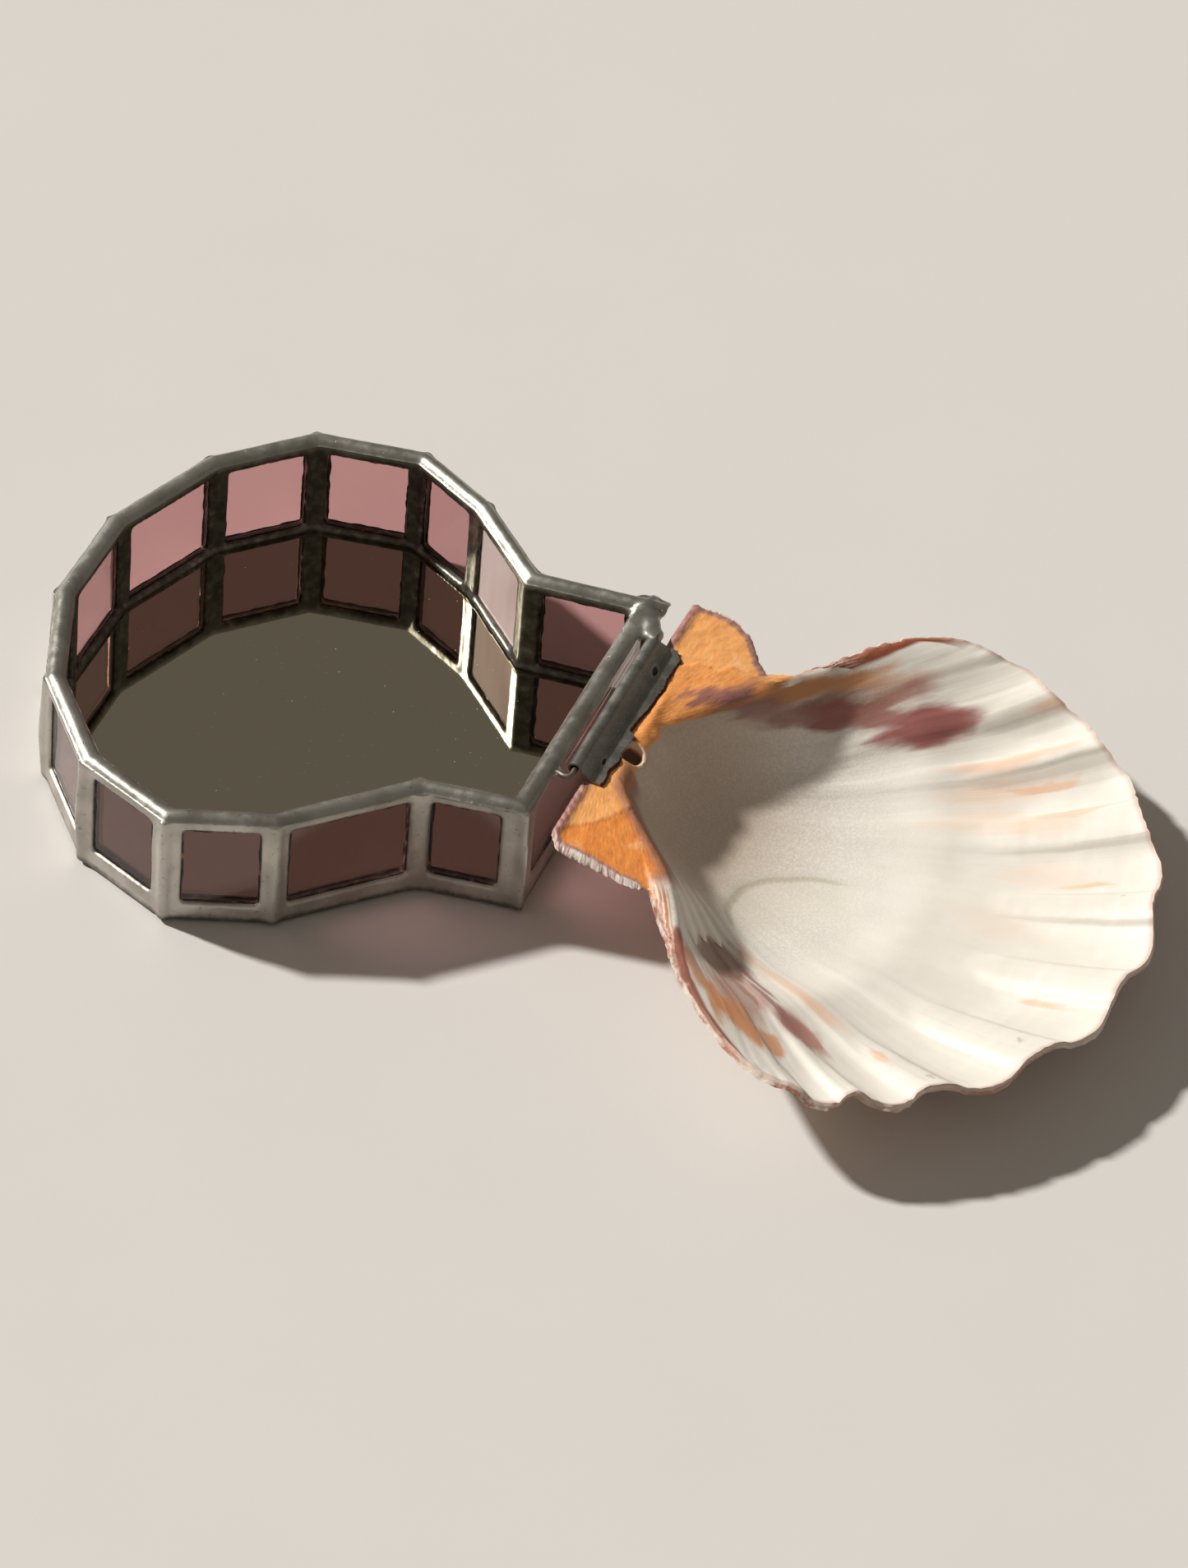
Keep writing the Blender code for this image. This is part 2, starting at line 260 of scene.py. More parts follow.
def mixColour(share, first, second):
    # From first, where share is 0, to second, where it is 1
    first, second = [value if isSocket(value) else (*value, 1.0) for value in (first, second)]
    return addNode("Mix", {0: share, 6: first, 7: second}, data_type="RGBA").outputs[2]


def painted(colour, *coats):
    # Lays coats, each a share and a colour, one over the other
    for share, coat in coats:
        colour = mixColour(share, colour, coat)
    return colour


def bumpOf(height, distance, strength, under=None):
    inputs = {"Height": height, "Distance": distance * mm, "Strength": strength}
    if under:
        inputs["Normal"] = under
    return addNode("Bump", inputs).outputs["Normal"]


def setShader(shader, **values):
    names = {"Color": "Base Color", "Transmission": "Transmission Weight"}
    for key, value in values.items():
        socket = shader.inputs[names.get(key, key)]
        if isSocket(value):
            shader.id_data.links.new(value, socket)
        else:
            socket.default_value = value


# Camera, floor and light

viewSetup = {
    "cameraPlace": (0.3872256, -0.9560473, 0.9358758),
    "cameraTurn": (47.3354, -3.9785, 21.9955),      # degrees
    "focalLength": 155.415, "sensorWidth": 36,      # mm, along the picture's long side
    "floorSize": 6.0,
    "floorColours": ((0.72, 0.705, 0.685), (0.70, 0.685, 0.665)),
    "sunTurn": (0, -51, -2),                        # degrees: low from the round chamber's side
    "sunStrength": 4.0, "sunAngle": 4,
    "sunColour": (1.0, 0.965, 0.91),
    "skyColour": (0.19, 0.17, 0.146),
}


def makeCamera():
    data = bpy.data.cameras.new("camera")
    data.lens = viewSetup["focalLength"]
    data.sensor_width = viewSetup["sensorWidth"]
    camera = bpy.data.objects.new("camera", data)
    camera.location = viewSetup["cameraPlace"]
    camera.rotation_euler = [math.radians(value) for value in viewSetup["cameraTurn"]]
    bpy.context.scene.collection.objects.link(camera)
    bpy.context.scene.camera = camera


def makeFloor():
    bpy.ops.mesh.primitive_plane_add(size=viewSetup["floorSize"], location=(0, 0, 0))
    floor = bpy.context.object
    floor.name = "floor"
    material, shader, place = newMaterial("floor")
    setShader(shader, Color=mixColour(noiseOf(place, 40), *viewSetup["floorColours"]), Roughness=0.7)
    floor.data.materials.append(material)


def makeLight():
    data = bpy.data.lights.new("sun", "SUN")
    data.energy = viewSetup["sunStrength"]
    data.angle = math.radians(viewSetup["sunAngle"])
    data.color = viewSetup["sunColour"]
    sun = bpy.data.objects.new("sun", data)
    sun.rotation_euler = [math.radians(value) for value in viewSetup["sunTurn"]]
    bpy.context.scene.collection.objects.link(sun)
    world = bpy.data.worlds.new("studio")
    world.use_nodes = True
    sky = world.node_tree.nodes["Background"]
    sky.inputs["Color"].default_value = (*viewSetup["skyColour"], 1.0)
    sky.inputs["Strength"].default_value = 1.0
    bpy.context.scene.world = world
    bpy.context.scene.view_settings.view_transform = "Standard"


makeCamera()
makeFloor()
makeLight()
print("camera, floor and light are set")


# Finishes

def solderFinish():
    # Dull tin and lead: pewter on the rim; matte outside, and paler there as a painted reflection of the pale
    # floor; painted shade darkens the inner faces, and the skin is darker towards the bottom
    material, shader, place = newMaterial("solder")
    _, height, out, _ = attributeOf(place, "form")
    blotch = noiseOf(place, 2.6, 4)
    clouds = between(noiseOf(place, 11, 4), 0.36, 0.66)
    rim = mixColour(clouds, (0.35, 0.343, 0.305), (0.48, 0.475, 0.435))
    outer = mixColour(clouds, (0.44, 0.41, 0.37), (0.60, 0.565, 0.52))
    below = mixColour(between(blotch, 0.36, 0.66), (0.10, 0.094, 0.08), (0.20, 0.19, 0.165))
    wandering = calc("ADD", height, times(blotch, 0.15))
    onRim = between(wandering, rimTop / 10 - 0.22, rimTop / 10 - 0.06)
    colour = painted(
        # Outer faces paler, a painted reflection of the pale floor; inner faces dark with painted shade
        mixColour(between(out, 0.02, 0.10), below, outer),
        # Darker towards the bottom, in the same dark colour
        (between(wandering, 0.33, 0.19, 0.0, 0.8), below),
        (onRim, rim),
        (between(blotch, 0.60, 0.74, 0.0, 0.4), (0.56, 0.55, 0.515)),
        (between(noiseOf(place, 0.9), 0.62, 0.73, 0.0, 0.5), (0.10, 0.095, 0.08)))
    dull = between(out, 0.02, 0.10, 0.34, 0.52)
    worn = between(blotch, 0.35, 0.68, 0.33, 0.46)
    pitted = bumpOf(between(cellsOf(place, 2.1)["Distance"], 0.03, 0.14), 0.10, 0.5)
    rippled = bumpOf(noiseOf(place, 1.3, 4), 0.07, 0.5, pitted)
    setShader(shader, Color=colour, Metallic=0.9, Roughness=mixColour(onRim, dull, worn), Normal=rippled)
    return material


def foilFinish():
    # Near-black edge of the copper foil: blackened foil, and painted shade along the panes' edges in the same
    # colour; bare copper shows here and there
    material, shader, place = newMaterial("foil")
    bare = between(noiseOf(place, 2.4, 4), 0.56, 0.70)
    setShader(shader, Color=mixColour(bare, (0.035, 0.030, 0.026), (0.26, 0.15, 0.09)),
              Metallic=0.7, Roughness=0.42, Normal=bumpOf(noiseOf(place, 0.6), 0.04, 0.5))
    return material


def glassFinish(name, paintedLight=0.0):
    # Mauve-pink art glass; the last argument, from 0 to 1, lays a pale film of painted light over it, for the
    # pane that the sun lights
    material, shader, place = newMaterial(name)
    streak = noiseOf(place, 14, 2, (1, 1, 0.25))
    tint = mixColour(streak, (0.655, 0.345, 0.355), (0.685, 0.375, 0.385))
    waves = bumpOf(noiseOf(place, 9, 0), 0.04, 0.2)
    setShader(shader, Transmission=1.0, Roughness=0.02, IOR=1.5, Normal=waves)
    # Painted light: a pale, less see-through film where the sun lights this pane
    if paintedLight:
        paintedLightShare = between(streak, 0.2, 0.6, paintedLight * 0.75, paintedLight)
        tint = mixColour(paintedLightShare, tint, (0.88, 0.78, 0.76))
        setShader(shader, Transmission=between(paintedLightShare, 0.0, 1.0, 1.0, 0.0))
    setShader(shader, Color=tint)
    return material


def mirrorFinish():
    # Old silvering, with specks of dust
    material, shader, place = newMaterial("mirror")
    dust = 0.0
    for size, low, high in ((2.1, 0.030, 0.055), (0.9, 0.028, 0.06)):
        cells = cellsOf(place, size)
        specks = times(between(cells["Distance"], low, high, 1.0, 0.0), between(cells["Color"], 0.55, 0.8))
        dust = calc("MAXIMUM", dust, specks)
    silver = mixColour(noiseOf(place, 30, 4), (0.50, 0.475, 0.375), (0.54, 0.515, 0.41))
    setShader(shader, Color=mixColour(dust, silver, (0.75, 0.73, 0.68)),
              Metallic=calc("SUBTRACT", 1.0, dust), Roughness=between(dust, 0.0, 1.0, 0.03, 0.8))
    return material


def sheetFinish(name, dark, light, roughness, shadedDents=()):
    # Tarnished sheet or wire, with faint clouds and fine grit; a dent, with painted shade in its middle
    # and a faint painted highlight round it, is x, y, z, half its length along the hinge and half its width,
    # in millimetres
    material, shader, place = newMaterial(name)
    clouds = noiseOf(place, 5, 5)
    grit = noiseOf(place, 0.45, 2)
    colour = painted(
        mixColour(between(clouds, 0.38, 0.68), dark, light),
        (between(grit, 0.60, 0.72, 0.0, 0.4), (0.06, 0.06, 0.055)),
        (between(grit, 0.38, 0.28, 0.0, 0.5), (0.50, 0.50, 0.47)))
    for x, y, z, length, width in shadedDents:
        # Painted shade in the dent's middle, and a faint painted highlight round it
        near = spotShare(place, (x * mm, y * mm, z * mm), (width * 2 * mm, length * 2 * mm, 3 * mm), 0.12)
        ring = times(between(near, 0.25, 0.42), between(near, 0.60, 0.50))
        colour = painted(colour, (times(ring, 0.3), (0.50, 0.50, 0.47)),
                         (between(near, 0.48, 0.70, 0.0, 0.9), (0.03, 0.03, 0.03)))
    rough = between(clouds, 0.35, 0.7, roughness - 0.06, roughness + 0.08)
    setShader(shader, Color=colour, Metallic=0.85, Roughness=rough,
              Normal=bumpOf(times(grit, 0.35), 0.05, 0.7))
    return material


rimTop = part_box("solder_frame")[1][2] / mm
solder = solderFinish()
foil = foilFinish()
pinkGlass = glassFinish("pink_glass")
# Glass with a pale film of painted light, for the pane that the sun lights
sunlitPaneGlass = glassFinish("sunlit_pane_glass", paintedLight=0.75)
silvering = mirrorFinish()
tarnished = sheetFinish("hinge_sheet", (0.19, 0.187, 0.17), (0.27, 0.267, 0.245), 0.50,
                        shadedDents=((73.9, 21.7, 26.5, 1.5, 0.65), (74.6, -7.8, 26.4, 1.3, 0.45)))
copper = sheetFinish("bare_copper", (0.42, 0.32, 0.235), (0.58, 0.48, 0.38), 0.5)
tinned = sheetFinish("hinge_wire", (0.17, 0.16, 0.135), (0.30, 0.28, 0.245), 0.55)
cadNodes["mirror_base"].data.materials[0] = silvering
panels = [cadNodes[name] for name in sorted(cadNodes) if name.startswith("glass_panel")]
sunlitPanePlace = Vector((38, 40))       # mm: the pane that faces the sun from inside


def planSpots(panel):
    # The panel's vertices seen from above, in millimetres
    return [Vector((vertex.co.x, vertex.co.y)) / mm for vertex in panel.data.vertices]


def panelMiddle(panel):
    spots = planSpots(panel)
    return sum(spots, Vector((0, 0))) / len(spots)


for panel in panels:
    panel.data.materials[0] = pinkGlass
# The pane nearest that place gets the glass with painted light
sunlitPanel = min(panels, key=lambda panel: (panelMiddle(panel) - sunlitPanePlace).length)
sunlitPanel.data.materials[0] = sunlitPaneGlass
print("finishes are mixed")


# Plan of the box, read from the glass panels

def panelEnds(panel):
    # The two ends of a panel's middle line
    spots = []
    for spot in planSpots(panel):
        if all((spot - known).length > 0.1 for known in spots):
            spots.append(spot)
    first = spots[0]
    others = sorted(spots[1:], key=lambda spot: (spot - first).length)
    return (first + others[0]) / 2, (others[1] + others[2]) / 2


def crossing(line, other):
    (a, b), (c, d) = line, other
    along, across = b - a, d - c
    share = (c - a).cross(across) / along.cross(across)
    return a + along * share


def wallLines():
    lines = [panelEnds(panel) for panel in panels]
    turned = []
    for i, (a, b) in enumerate(lines):
        following = sum(lines[(i + 1) % len(lines)], Vector((0, 0))) / 2
        turned.append((a, b) if (b - following).length < (a - following).length else (b, a))
    return turned


walls = wallLines()
corners = [crossing(walls[i - 1], walls[i]) for i in range(len(walls))]
print("the plan has", len(corners), "corners")


# Solder: foil, seams and rim bead as one skin

solderWork = {
    # millimetres and degrees
    "voxel": 0.5, "smoothing": 5,
    "slotWidth": 3.4, "slotBeyond": 0.8, "slotPast": 0.6,
    "sideOverlap": 1.2, "topOverlap": 1.9, "bottomOverlap": 1.2,
    "pocket": (-0.1, 3.6, 0.2, 4.4),            # how far out its middle lies, width, bottom and top
    "ripples": (("wave", 6.0, 0.24), ("pit", 1.4, 0.09)),       # size and height
    "beadHalf": 2.0, "beadCrown": 0.85, "crownFrom": 1.5, "crownTo": 0.4,       # down from the top
    "flatBead": (69, 32.5, 3.5, 7),             # x, y and radii between which the crown fades out
    # The hinge wall's outer side: where it stands back to, and how much less near the top and the back
    "slotX": 67.9, "slotEnds": (-12.4, 26.8), "slotLow": 22.5, "slotSoft": 0.8, "slotReach": 3,
    "topLess": 0.5, "topFrom": 2.2, "topTo": 1.2, "backLess": 0.55, "backFrom": 12, "backTo": 24,
    "peakSize": (1.3, 1.1, 0.8), "peakOut": 1.4, "peakDrop": 1.1, "leastTurn": 0.05,
    # The broad corner behind the hinge, then a drop on the hook: x, y, z, half sizes and turn
    "hingeDrops": (
        (65.6, 38.2, 26.9, (4.6, 4.0, 1.6), 60), (67.9, 40.4, 27.3, (2.3, 1.4, 0.8), 42),
        (66.9, 36.0, 26.9, (2.4, 3.6, 1.5), 10), (68.2, 33.2, 27.1, (2.2, 3.2, 1.5), 10),
        (69.4, 31.2, 26.9, (2.6, 2.4, 1.5), 0), (70.6, 29.9, 27.1, (1.4, 1.5, 1.1), 0),
        (65.6, 40.6, 27.2, (3.4, 1.6, 0.9), 170), (67.6, -15.4, 26.8, (1.2, 1.2, 0.9), 0),
    ),
}


def fillSlots():
    # Bars that fill the slots round each pane, so that the foil and the seams are solid
    bars = []
    low, high = [corner[2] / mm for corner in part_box("glass_panel_01")]
    past = solderWork["slotPast"]
    for start, end in walls:
        along = (end - start).normalized()
        side = along * solderWork["sideOverlap"]
        beyond = along * solderWork["slotBeyond"]
        for first, last, bottom, top in (
                (start - beyond, end + beyond, low - past, low + solderWork["bottomOverlap"]),
                (start - beyond, end + beyond, high - solderWork["topOverlap"], high + past),
                (start - beyond, start + side, low, high),
                (end - side, end + beyond, low, high)):
            bars.append(addBar(first, last, 0, solderWork["slotWidth"], bottom, top))
    return bars


def fillPocket():
    # Bars that fill the groove round the mirror's edge
    return [addBar(corners[i - 1], corners[i], *solderWork["pocket"]) for i in range(len(corners))]


def rimDrops():
    # Small peaks where the bead turns each corner, and the broad folded one behind the hinge
    drops = []
    for i, corner in enumerate(corners):
        before = corner - corners[i - 1]
        after = corners[(i + 1) % len(corners)] - corner
        mitre = before.normalized() - after.normalized()
        if mitre.length < solderWork["leastTurn"]:
            continue
        mitre.normalize()
        place = corner + mitre * solderWork["peakOut"]
        place = (place.x, place.y, rimTop - solderWork["peakDrop"])
        drops.append(addBlob(place, solderWork["peakSize"], math.degrees(math.atan2(mitre.y, mitre.x))))
    for *place, size, turn in solderWork["hingeDrops"]:
        drops.append(addBlob(place, size, turn))
    return drops


def markForm(skin):
    # For the finish: how far up, and how far out from the middle of the wall, both in centimetres
    skin.data.attributes.new("form", "FLOAT_VECTOR", "POINT")
    form = skin.data.attributes["form"]
    lines = [(start, (end - start).normalized(), (end - start).length) for start, end in walls]
    for index, vertex in enumerate(skin.data.vertices):
        x, y, z = vertex.co / mm
        nearest, outward = math.inf, 0.0
        for start, along, length in lines:
            dx, dy = x - start.x, y - start.y
            reach = dx * along.x + dy * along.y
            out = dx * along.y - dy * along.x
            beyond = max(-reach, reach - length, 0.0)
            if abs(out) + beyond < nearest:
                nearest, outward = abs(out) + beyond, out
        form.data[index].vector = (z / 10, outward / 10, 0)


def standBack(skin):
    # Keeps the hinge wall's outer side clear of the roll, and everything above the table
    work = solderWork
    front, back = work["slotEnds"]
    soft = work["slotSoft"]
    for vertex in skin.data.vertices:
        x, y, z = vertex.co / mm
        within = smoothStep(y, front - soft, front) * smoothStep(y, back + soft, back)
        nearTop = smoothStep(z, rimTop - work["topFrom"], rimTop - work["topTo"])
        limit = work["slotX"] + work["topLess"] * nearTop
        limit += work["backLess"] * smoothStep(y, work["backFrom"], work["backTo"])
        if within > 0 and limit < x < limit + work["slotReach"] and z > work["slotLow"]:
            vertex.co.x += (limit - x) * within * mm
        vertex.co.z = max(vertex.co.z, 0.0)


def roundBead(skin):
    # Lowers the bead's sides, apart from the flat corner behind the hinge
    form = skin.data.attributes["form"]
    flatX, flatY, near, far = solderWork["flatBead"]
    for index, vertex in enumerate(skin.data.vertices):
        out = min(abs(form.data[index].vector.y) * 10 / solderWork["beadHalf"], 1.0)
        crown = smoothStep(vertex.co.z / mm, rimTop - solderWork["crownFrom"], rimTop - solderWork["crownTo"])
        crown *= smoothStep(math.hypot(vertex.co.x / mm - flatX, vertex.co.y / mm - flatY), near, far)
        vertex.co.z -= solderWork["beadCrown"] * out * out * crown * mm


def makeSolderWork():
    skin = bpy.data.objects.new("solder_work", cadNodes["solder_frame"].data.copy())
    bpy.context.scene.collection.objects.link(skin)
    deselectAll()
    extra = fillSlots() + fillPocket() + rimDrops()
    mergeDoubles(skin)
    skin = joinPieces("solder_work", [skin] + extra)
    applyModifier(skin, "REMESH", mode="VOXEL", voxel_size=solderWork["voxel"] * mm)
    applyModifier(skin, "SMOOTH", factor=0.5, iterations=solderWork["smoothing"])
    for name, size, height in solderWork["ripples"]:
        texture = bpy.data.textures.new(name, "CLOUDS")
        texture.noise_scale = size * mm
        applyModifier(skin, "DISPLACE", texture=texture, texture_coords="LOCAL", mid_level=0.5,
                      strength=height * mm)
    standBack(skin)
    markForm(skin)
    roundBead(skin)
    finishPiece(skin, solder, "box", smoothAngle=70)
    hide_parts("solder_frame")
    return skin


solderSkin = makeSolderWork()
print("solder:", len(solderSkin.data.polygons), "faces")


# Foil: the dark irregular edge that shows round every pane, on both its faces

foilEdge = {
    "step": 1.0,               # mm along the edge
    "hidden": 0.3, "shown": 0.38, "shownInside": 0.22, "ragged": 0.34,
    "proud": 0.06, "thickness": 0.08,
}

copperLine = {"x": 68.2, "z": 26.8, "front": -12.2, "back": 26.4, "radius": 0.11, "sway": 0.12, "steps": 24}


def foilRing(index, side):
    # A thin ring on one face of a pane; side is 1 outside and -1 inside
    start, end = walls[index]
    along = (end - start).normalized()
    outward = Vector((along.y, -along.x))
    heights = [vertex.co.z / mm for vertex in panels[index].data.vertices]
    face = max(abs((spot - start).dot(outward)) for spot in planSpots(panels[index])) + foilEdge["proud"]
    left, right = solderWork["sideOverlap"], (end - start).length - solderWork["sideOverlap"]
    low, high = min(heights) + solderWork["bottomOverlap"], max(heights) - solderWork["topOverlap"]
    # Place along the wall, height, and the way inwards in both
    outline = [(left, low, 1, 1), (right, low, -1, 1), (right, high, -1, -1), (left, high, 1, -1)]
    stops = []
    for k, corner in enumerate(outline):
        following = outline[(k + 1) % 4]
        span = abs(following[0] - corner[0]) + abs(following[1] - corner[1])
        count = max(int(span / foilEdge["step"]), 2)
        for step in range(count):
            stops.append([a + (b - a) * (step / count) for a, b in zip(corner, following)])

    def placeOf(column, row):
        s, z, inwardS, inwardZ = stops[column % len(stops)]
        reach = -foilEdge["hidden"]
        if row:
            reach = foilEdge["shown" if side > 0 else "shownInside"]
            reach += foilEdge["ragged"] * roughAt(s + index * 7, z, side * 3.0, 1.9)
        place = start + along * (s + inwardS * reach) + outward * (face * side)
        return [(place.x * mm, place.y * mm, (z + inwardZ * reach) * mm)]

    ring = makeGrid(len(stops), 1, placeOf)
    mergeDoubles(ring)
    return ring


def makeFoilEdges():
    rings = [foilRing(index, side) for index in range(len(panels)) for side in (1, -1)]
    edges = joinPieces("foil_edges", rings)
    applyModifier(edges, "SOLIDIFY", thickness=foilEdge["thickness"] * mm, offset=0)
    outwardNormals(edges)
    finishPiece(edges, foil, "box")


def makeCopperLine():
    # The foil's bare edge along the slot beside the hinge
    front, back, steps = copperLine["front"], copperLine["back"], copperLine["steps"]
    route = []
    for step in range(steps + 1):
        y = front + (back - front) * step / steps
        sway = copperLine["sway"] * roughAt(y, 2.0, 0, 3.0)
        route.append((copperLine["x"] + sway, y, copperLine["z"] + sway))
    line = addWire("copper_line", route, copperLine["radius"], resolution=2)
    finishPiece(line, copper, "box")


makeFoilEdges()
makeCopperLine()
print("foil edges are cut")


# The lid's own plane: U runs away from the box, V along the hinge and W up

hingeJoint = frame["record"]["behaviour"]["joints"][0]
hingePlace = Vector(hingeJoint["pos_m"]) / mm
restTilt = math.radians(hingeJoint["range_deg"][1] - 180)


def lidPoint(u, v, w):
    x = u * math.cos(restTilt) + w * math.sin(restTilt)
    z = w * math.cos(restTilt) - u * math.sin(restTilt)
    return Vector((hingePlace.x + x, hingePlace.y + v, hingePlace.z + z)) * mm


# Hinge sheet, rolled over the wire

hingeSheet = {
    # millimetres and degrees, round the wire's middle
    "front": -14.2, "back": 29.9, "rollBack": 27.6,
    "thickness": 0.4, "rollRadius": 1.38, "seatW": -1.38,
    "rollStart": -80, "rollEnd": -322,      # under the wire and over it to the sheet
    "bend": 1.5, "landing": 3.3,            # the sheet leaves the roll and lands on the shell
    # Reach of the torn edge, along the hinge
    "edge": ((-14.2, 5.7), (-12.5, 5.9), (-9, 5.5), (-6.3, 6.4), (-3.7, 6.0), (2.2, 6.6), (3.2, 4.9),
             (5.5, 5.1), (11.3, 5.9), (18.5, 6.5), (21, 6.0), (25, 6.2), (27.7, 6.4), (29, 5.4), (29.9, 5.0)),
    "tear": 0.2,
    "waves": ((0.03, 1.0, 4.0), (0.012, 5.0, 0.9)),             # height, seed and size
    "shortColumns": (42, 16), "shortFrom": (14, 22),            # the roll stops short at the back
    "columns": 60, "rollColumns": 26, "bendColumns": 12, "rows": 240,
    # Along the hinge, across it, half length, half width and depth
    "dimples": ((21.7, 3.1, 1.5, 0.6, 0.30), (-7.8, 3.9, 1.2, 0.4, 0.22), (14.0, 4.4, 0.7, 0.4, 0.06)),
}


def sheetSection(reach):
    # From the roll's inner end, round over the wire, then down onto the shell and out to the edge
    size = hingeSheet["rollRadius"]
    section = []
    first, last = math.radians(hingeSheet["rollStart"]), math.radians(hingeSheet["rollEnd"])
    turns, bends = hingeSheet["rollColumns"], hingeSheet["bendColumns"]
    for step in range(turns + 1):
        angle = first + (last - first) * step / turns
        section.append(Vector((size * math.cos(angle), size * math.sin(angle))))
    start = section[-1]
    landing = Vector((hingeSheet["landing"], hingeSheet["seatW"]))
    bend = start + Vector((math.sin(last), -math.cos(last))) * hingeSheet["bend"]
    for step in range(1, bends + 1):
        share = step / bends
        section.append(start * (1 - share) ** 2 + bend * 2 * share * (1 - share) + landing * share ** 2)
    flat = hingeSheet["columns"] + 1 - len(section)
    for step in range(1, flat + 1):
        section.append(landing + Vector(((reach - landing.x) * step / flat, 0)))
    return section


def makeHingeSheet():
    front, back, rows = hingeSheet["front"], hingeSheet["back"], hingeSheet["rows"]
    rollShare = (hingeSheet["rollBack"] - front) / (back - front)
    sections = []
    for row in range(rows + 1):
        v = front + (back - front) * row / rows
        tear = hingeSheet["tear"] * (roughAt(v, 3.3, 0, 0.9) + 0.6 * roughAt(v, 7.1, 0, 0.35))
        sections.append((v, sheetSection(alongPoints(hingeSheet["edge"], v) + tear)))

    def placeOf(column, row):
        v, section = sections[row]
        u, w = section[column]
        short = smoothStep(column, *hingeSheet["shortColumns"]) * smoothStep(v, *hingeSheet["shortFrom"])
        v += (front + (v - front) * rollShare - v) * short
        for middle, across, length, width, depth in hingeSheet["dimples"]:
            away = ((v - middle) / length) ** 2 + ((u - across) / width) ** 2
            w -= depth * math.exp(-away * 1.5) if u > 0 else 0
        w += sum(height * roughAt(u, v, seed, size) for height, seed, size in hingeSheet["waves"])
        return [lidPoint(u, v, w)]

    sheet = makeGrid(hingeSheet["columns"], rows, placeOf)
    applyModifier(sheet, "SOLIDIFY", thickness=hingeSheet["thickness"] * mm, offset=0, use_even_offset=True)
    outwardNormals(sheet)
    sheet.name = "hinge_sheet"
    finishPiece(sheet, tarnished, "lid", smoothAngle=40)
    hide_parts("hinge_plate")


# Hinge wire: through the roll, hooked back at its front end and soldered along the rim

hingeWire = {
    "radius": 0.62,
    # x, y, z in millimetres; the middle stretch lies on the hinge's axis
    "backEnd": ((69.2, 32.4, 26.9), (70.0, 31.8, 27.1), (70.6, 31.2, 27.4)),
    "hook": ((70.8, -14.6, 27.5), (70.8, -15.5, 27.4), (70.2, -16.3, 27.2), (69.3, -16.4, 27.1),
             (68.4, -15.9, 27.0), (67.7, -15.5, 26.7), (67.0, -15.3, 26.2)),
}


def makeHingeWire():
    middle = [(hingePlace.x, y, hingePlace.z) for y in (30.2, 26, 18, 8, -2, -9, -13.2)]
    route = [*hingeWire["backEnd"], *middle, *hingeWire["hook"]]
    wire = addWire("hinge_wire", route, hingeWire["radius"])
    finishPiece(wire, tinned, "box")
    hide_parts("hinge_pin")


makeHingeSheet()
makeHingeWire()
print("hinge is rolled and wired")


# Scallop shell

shellForm = {
    # Millimetres and degrees; the same outline and outer form as the solid under it
    "pole": (2.1, -1.0), "rimW": -1.9,              # the umbo, and the plane of the rim
    "disc": (43.7, -3.0, 72.2),                     # the fan's outline: middle from the umbo, radius
    "sideAngle": 56, "wallAngle": 0.9,
    "outerDepth": 18.8, "outerBowl": (0.55, 0.95),
    "earThickness": 1.9, "marginDrop": 1.0, "marginInset": 0.5,
    "shoulders": ((28.0, 3.2), (12.6, 5.0)), "shoulderStart": 44,       # front and back
    "ribs": (44.5, 35.5, 26.0, 13.0, 1.0, -12.0, -25.5, -36.3, -43.4),
    "ribDepth": 2.4, "ribFade": 8.0, "ribLobe": 2.2, "ribLobeMean": 0.35, "ribFlat": (0.48, 0.72),
    # Fine relief outside, sunk a little so that it stays within the solid
    "outerSharp": 0.35, "riblet": 0.16, "ribletPace": 4.2, "growth": 0.14, "growthSize": 1.3, "sunk": 0.3,
    # Stray of the margin, fine and broad: mm, more towards the front, size; then that of the flanks
    "fineStray": (0.22, 0.2, 0.6), "broadStray": (0.3, 1.7), "strayFrom": (25, 50),
    "flankStray": (0.45, 0.9), "flankMost": 0.3, "flankFrom": (53.5, 56),
    # The ears' outlines, front and back: degrees and reach
    "ears": (((61, 40.0), (68, 37.2), (75, 35.0), (82, 33.6), (86, 32.8), (90, 29.4)),
             ((60, 41.2), (66, 43.0), (73.5, 47.2), (79, 48.8), (84.5, 48.4), (90, 47.5))),
    "earStray": ((0.45, 5.0, 1.3), (0.2, 3.0, 0.5)),        # height, seed and size
    "fanColumns": 260, "earColumns": 60,
    "notch": 0.66, "nearRows": 92, "farRows": 34, "rowCrowding": 1.35,
}

shellHollow = {
    # The hollow's edge: degrees from the middle line at both flanks, a line beside the hinge, and
    # the front flank's edge swelling inwards; then how each edge rounds over and falls away
    "start": 53.6, "hingeLine": 9.8, "hingeStray": 0.8,
    "lip": 2.8, "lipPlace": 39, "lipSpan": 14, "lipDrop": 0.10, "lipMost": 1.1, "freeFrom": (0.5, 0.72),
    "backRound": 1.2, "frontRound": 0.35, "hingeRound": 0.9, "edgeRound": 0.3,
    "fall": 12, "marginFall": 28,
    "frontEase": 0.6, "backEase": 0.5, "easeFrom": 46, "easeTo": 72,    # flanks slope less further out
    "depth": 19, "leastWall": 1.0,
}

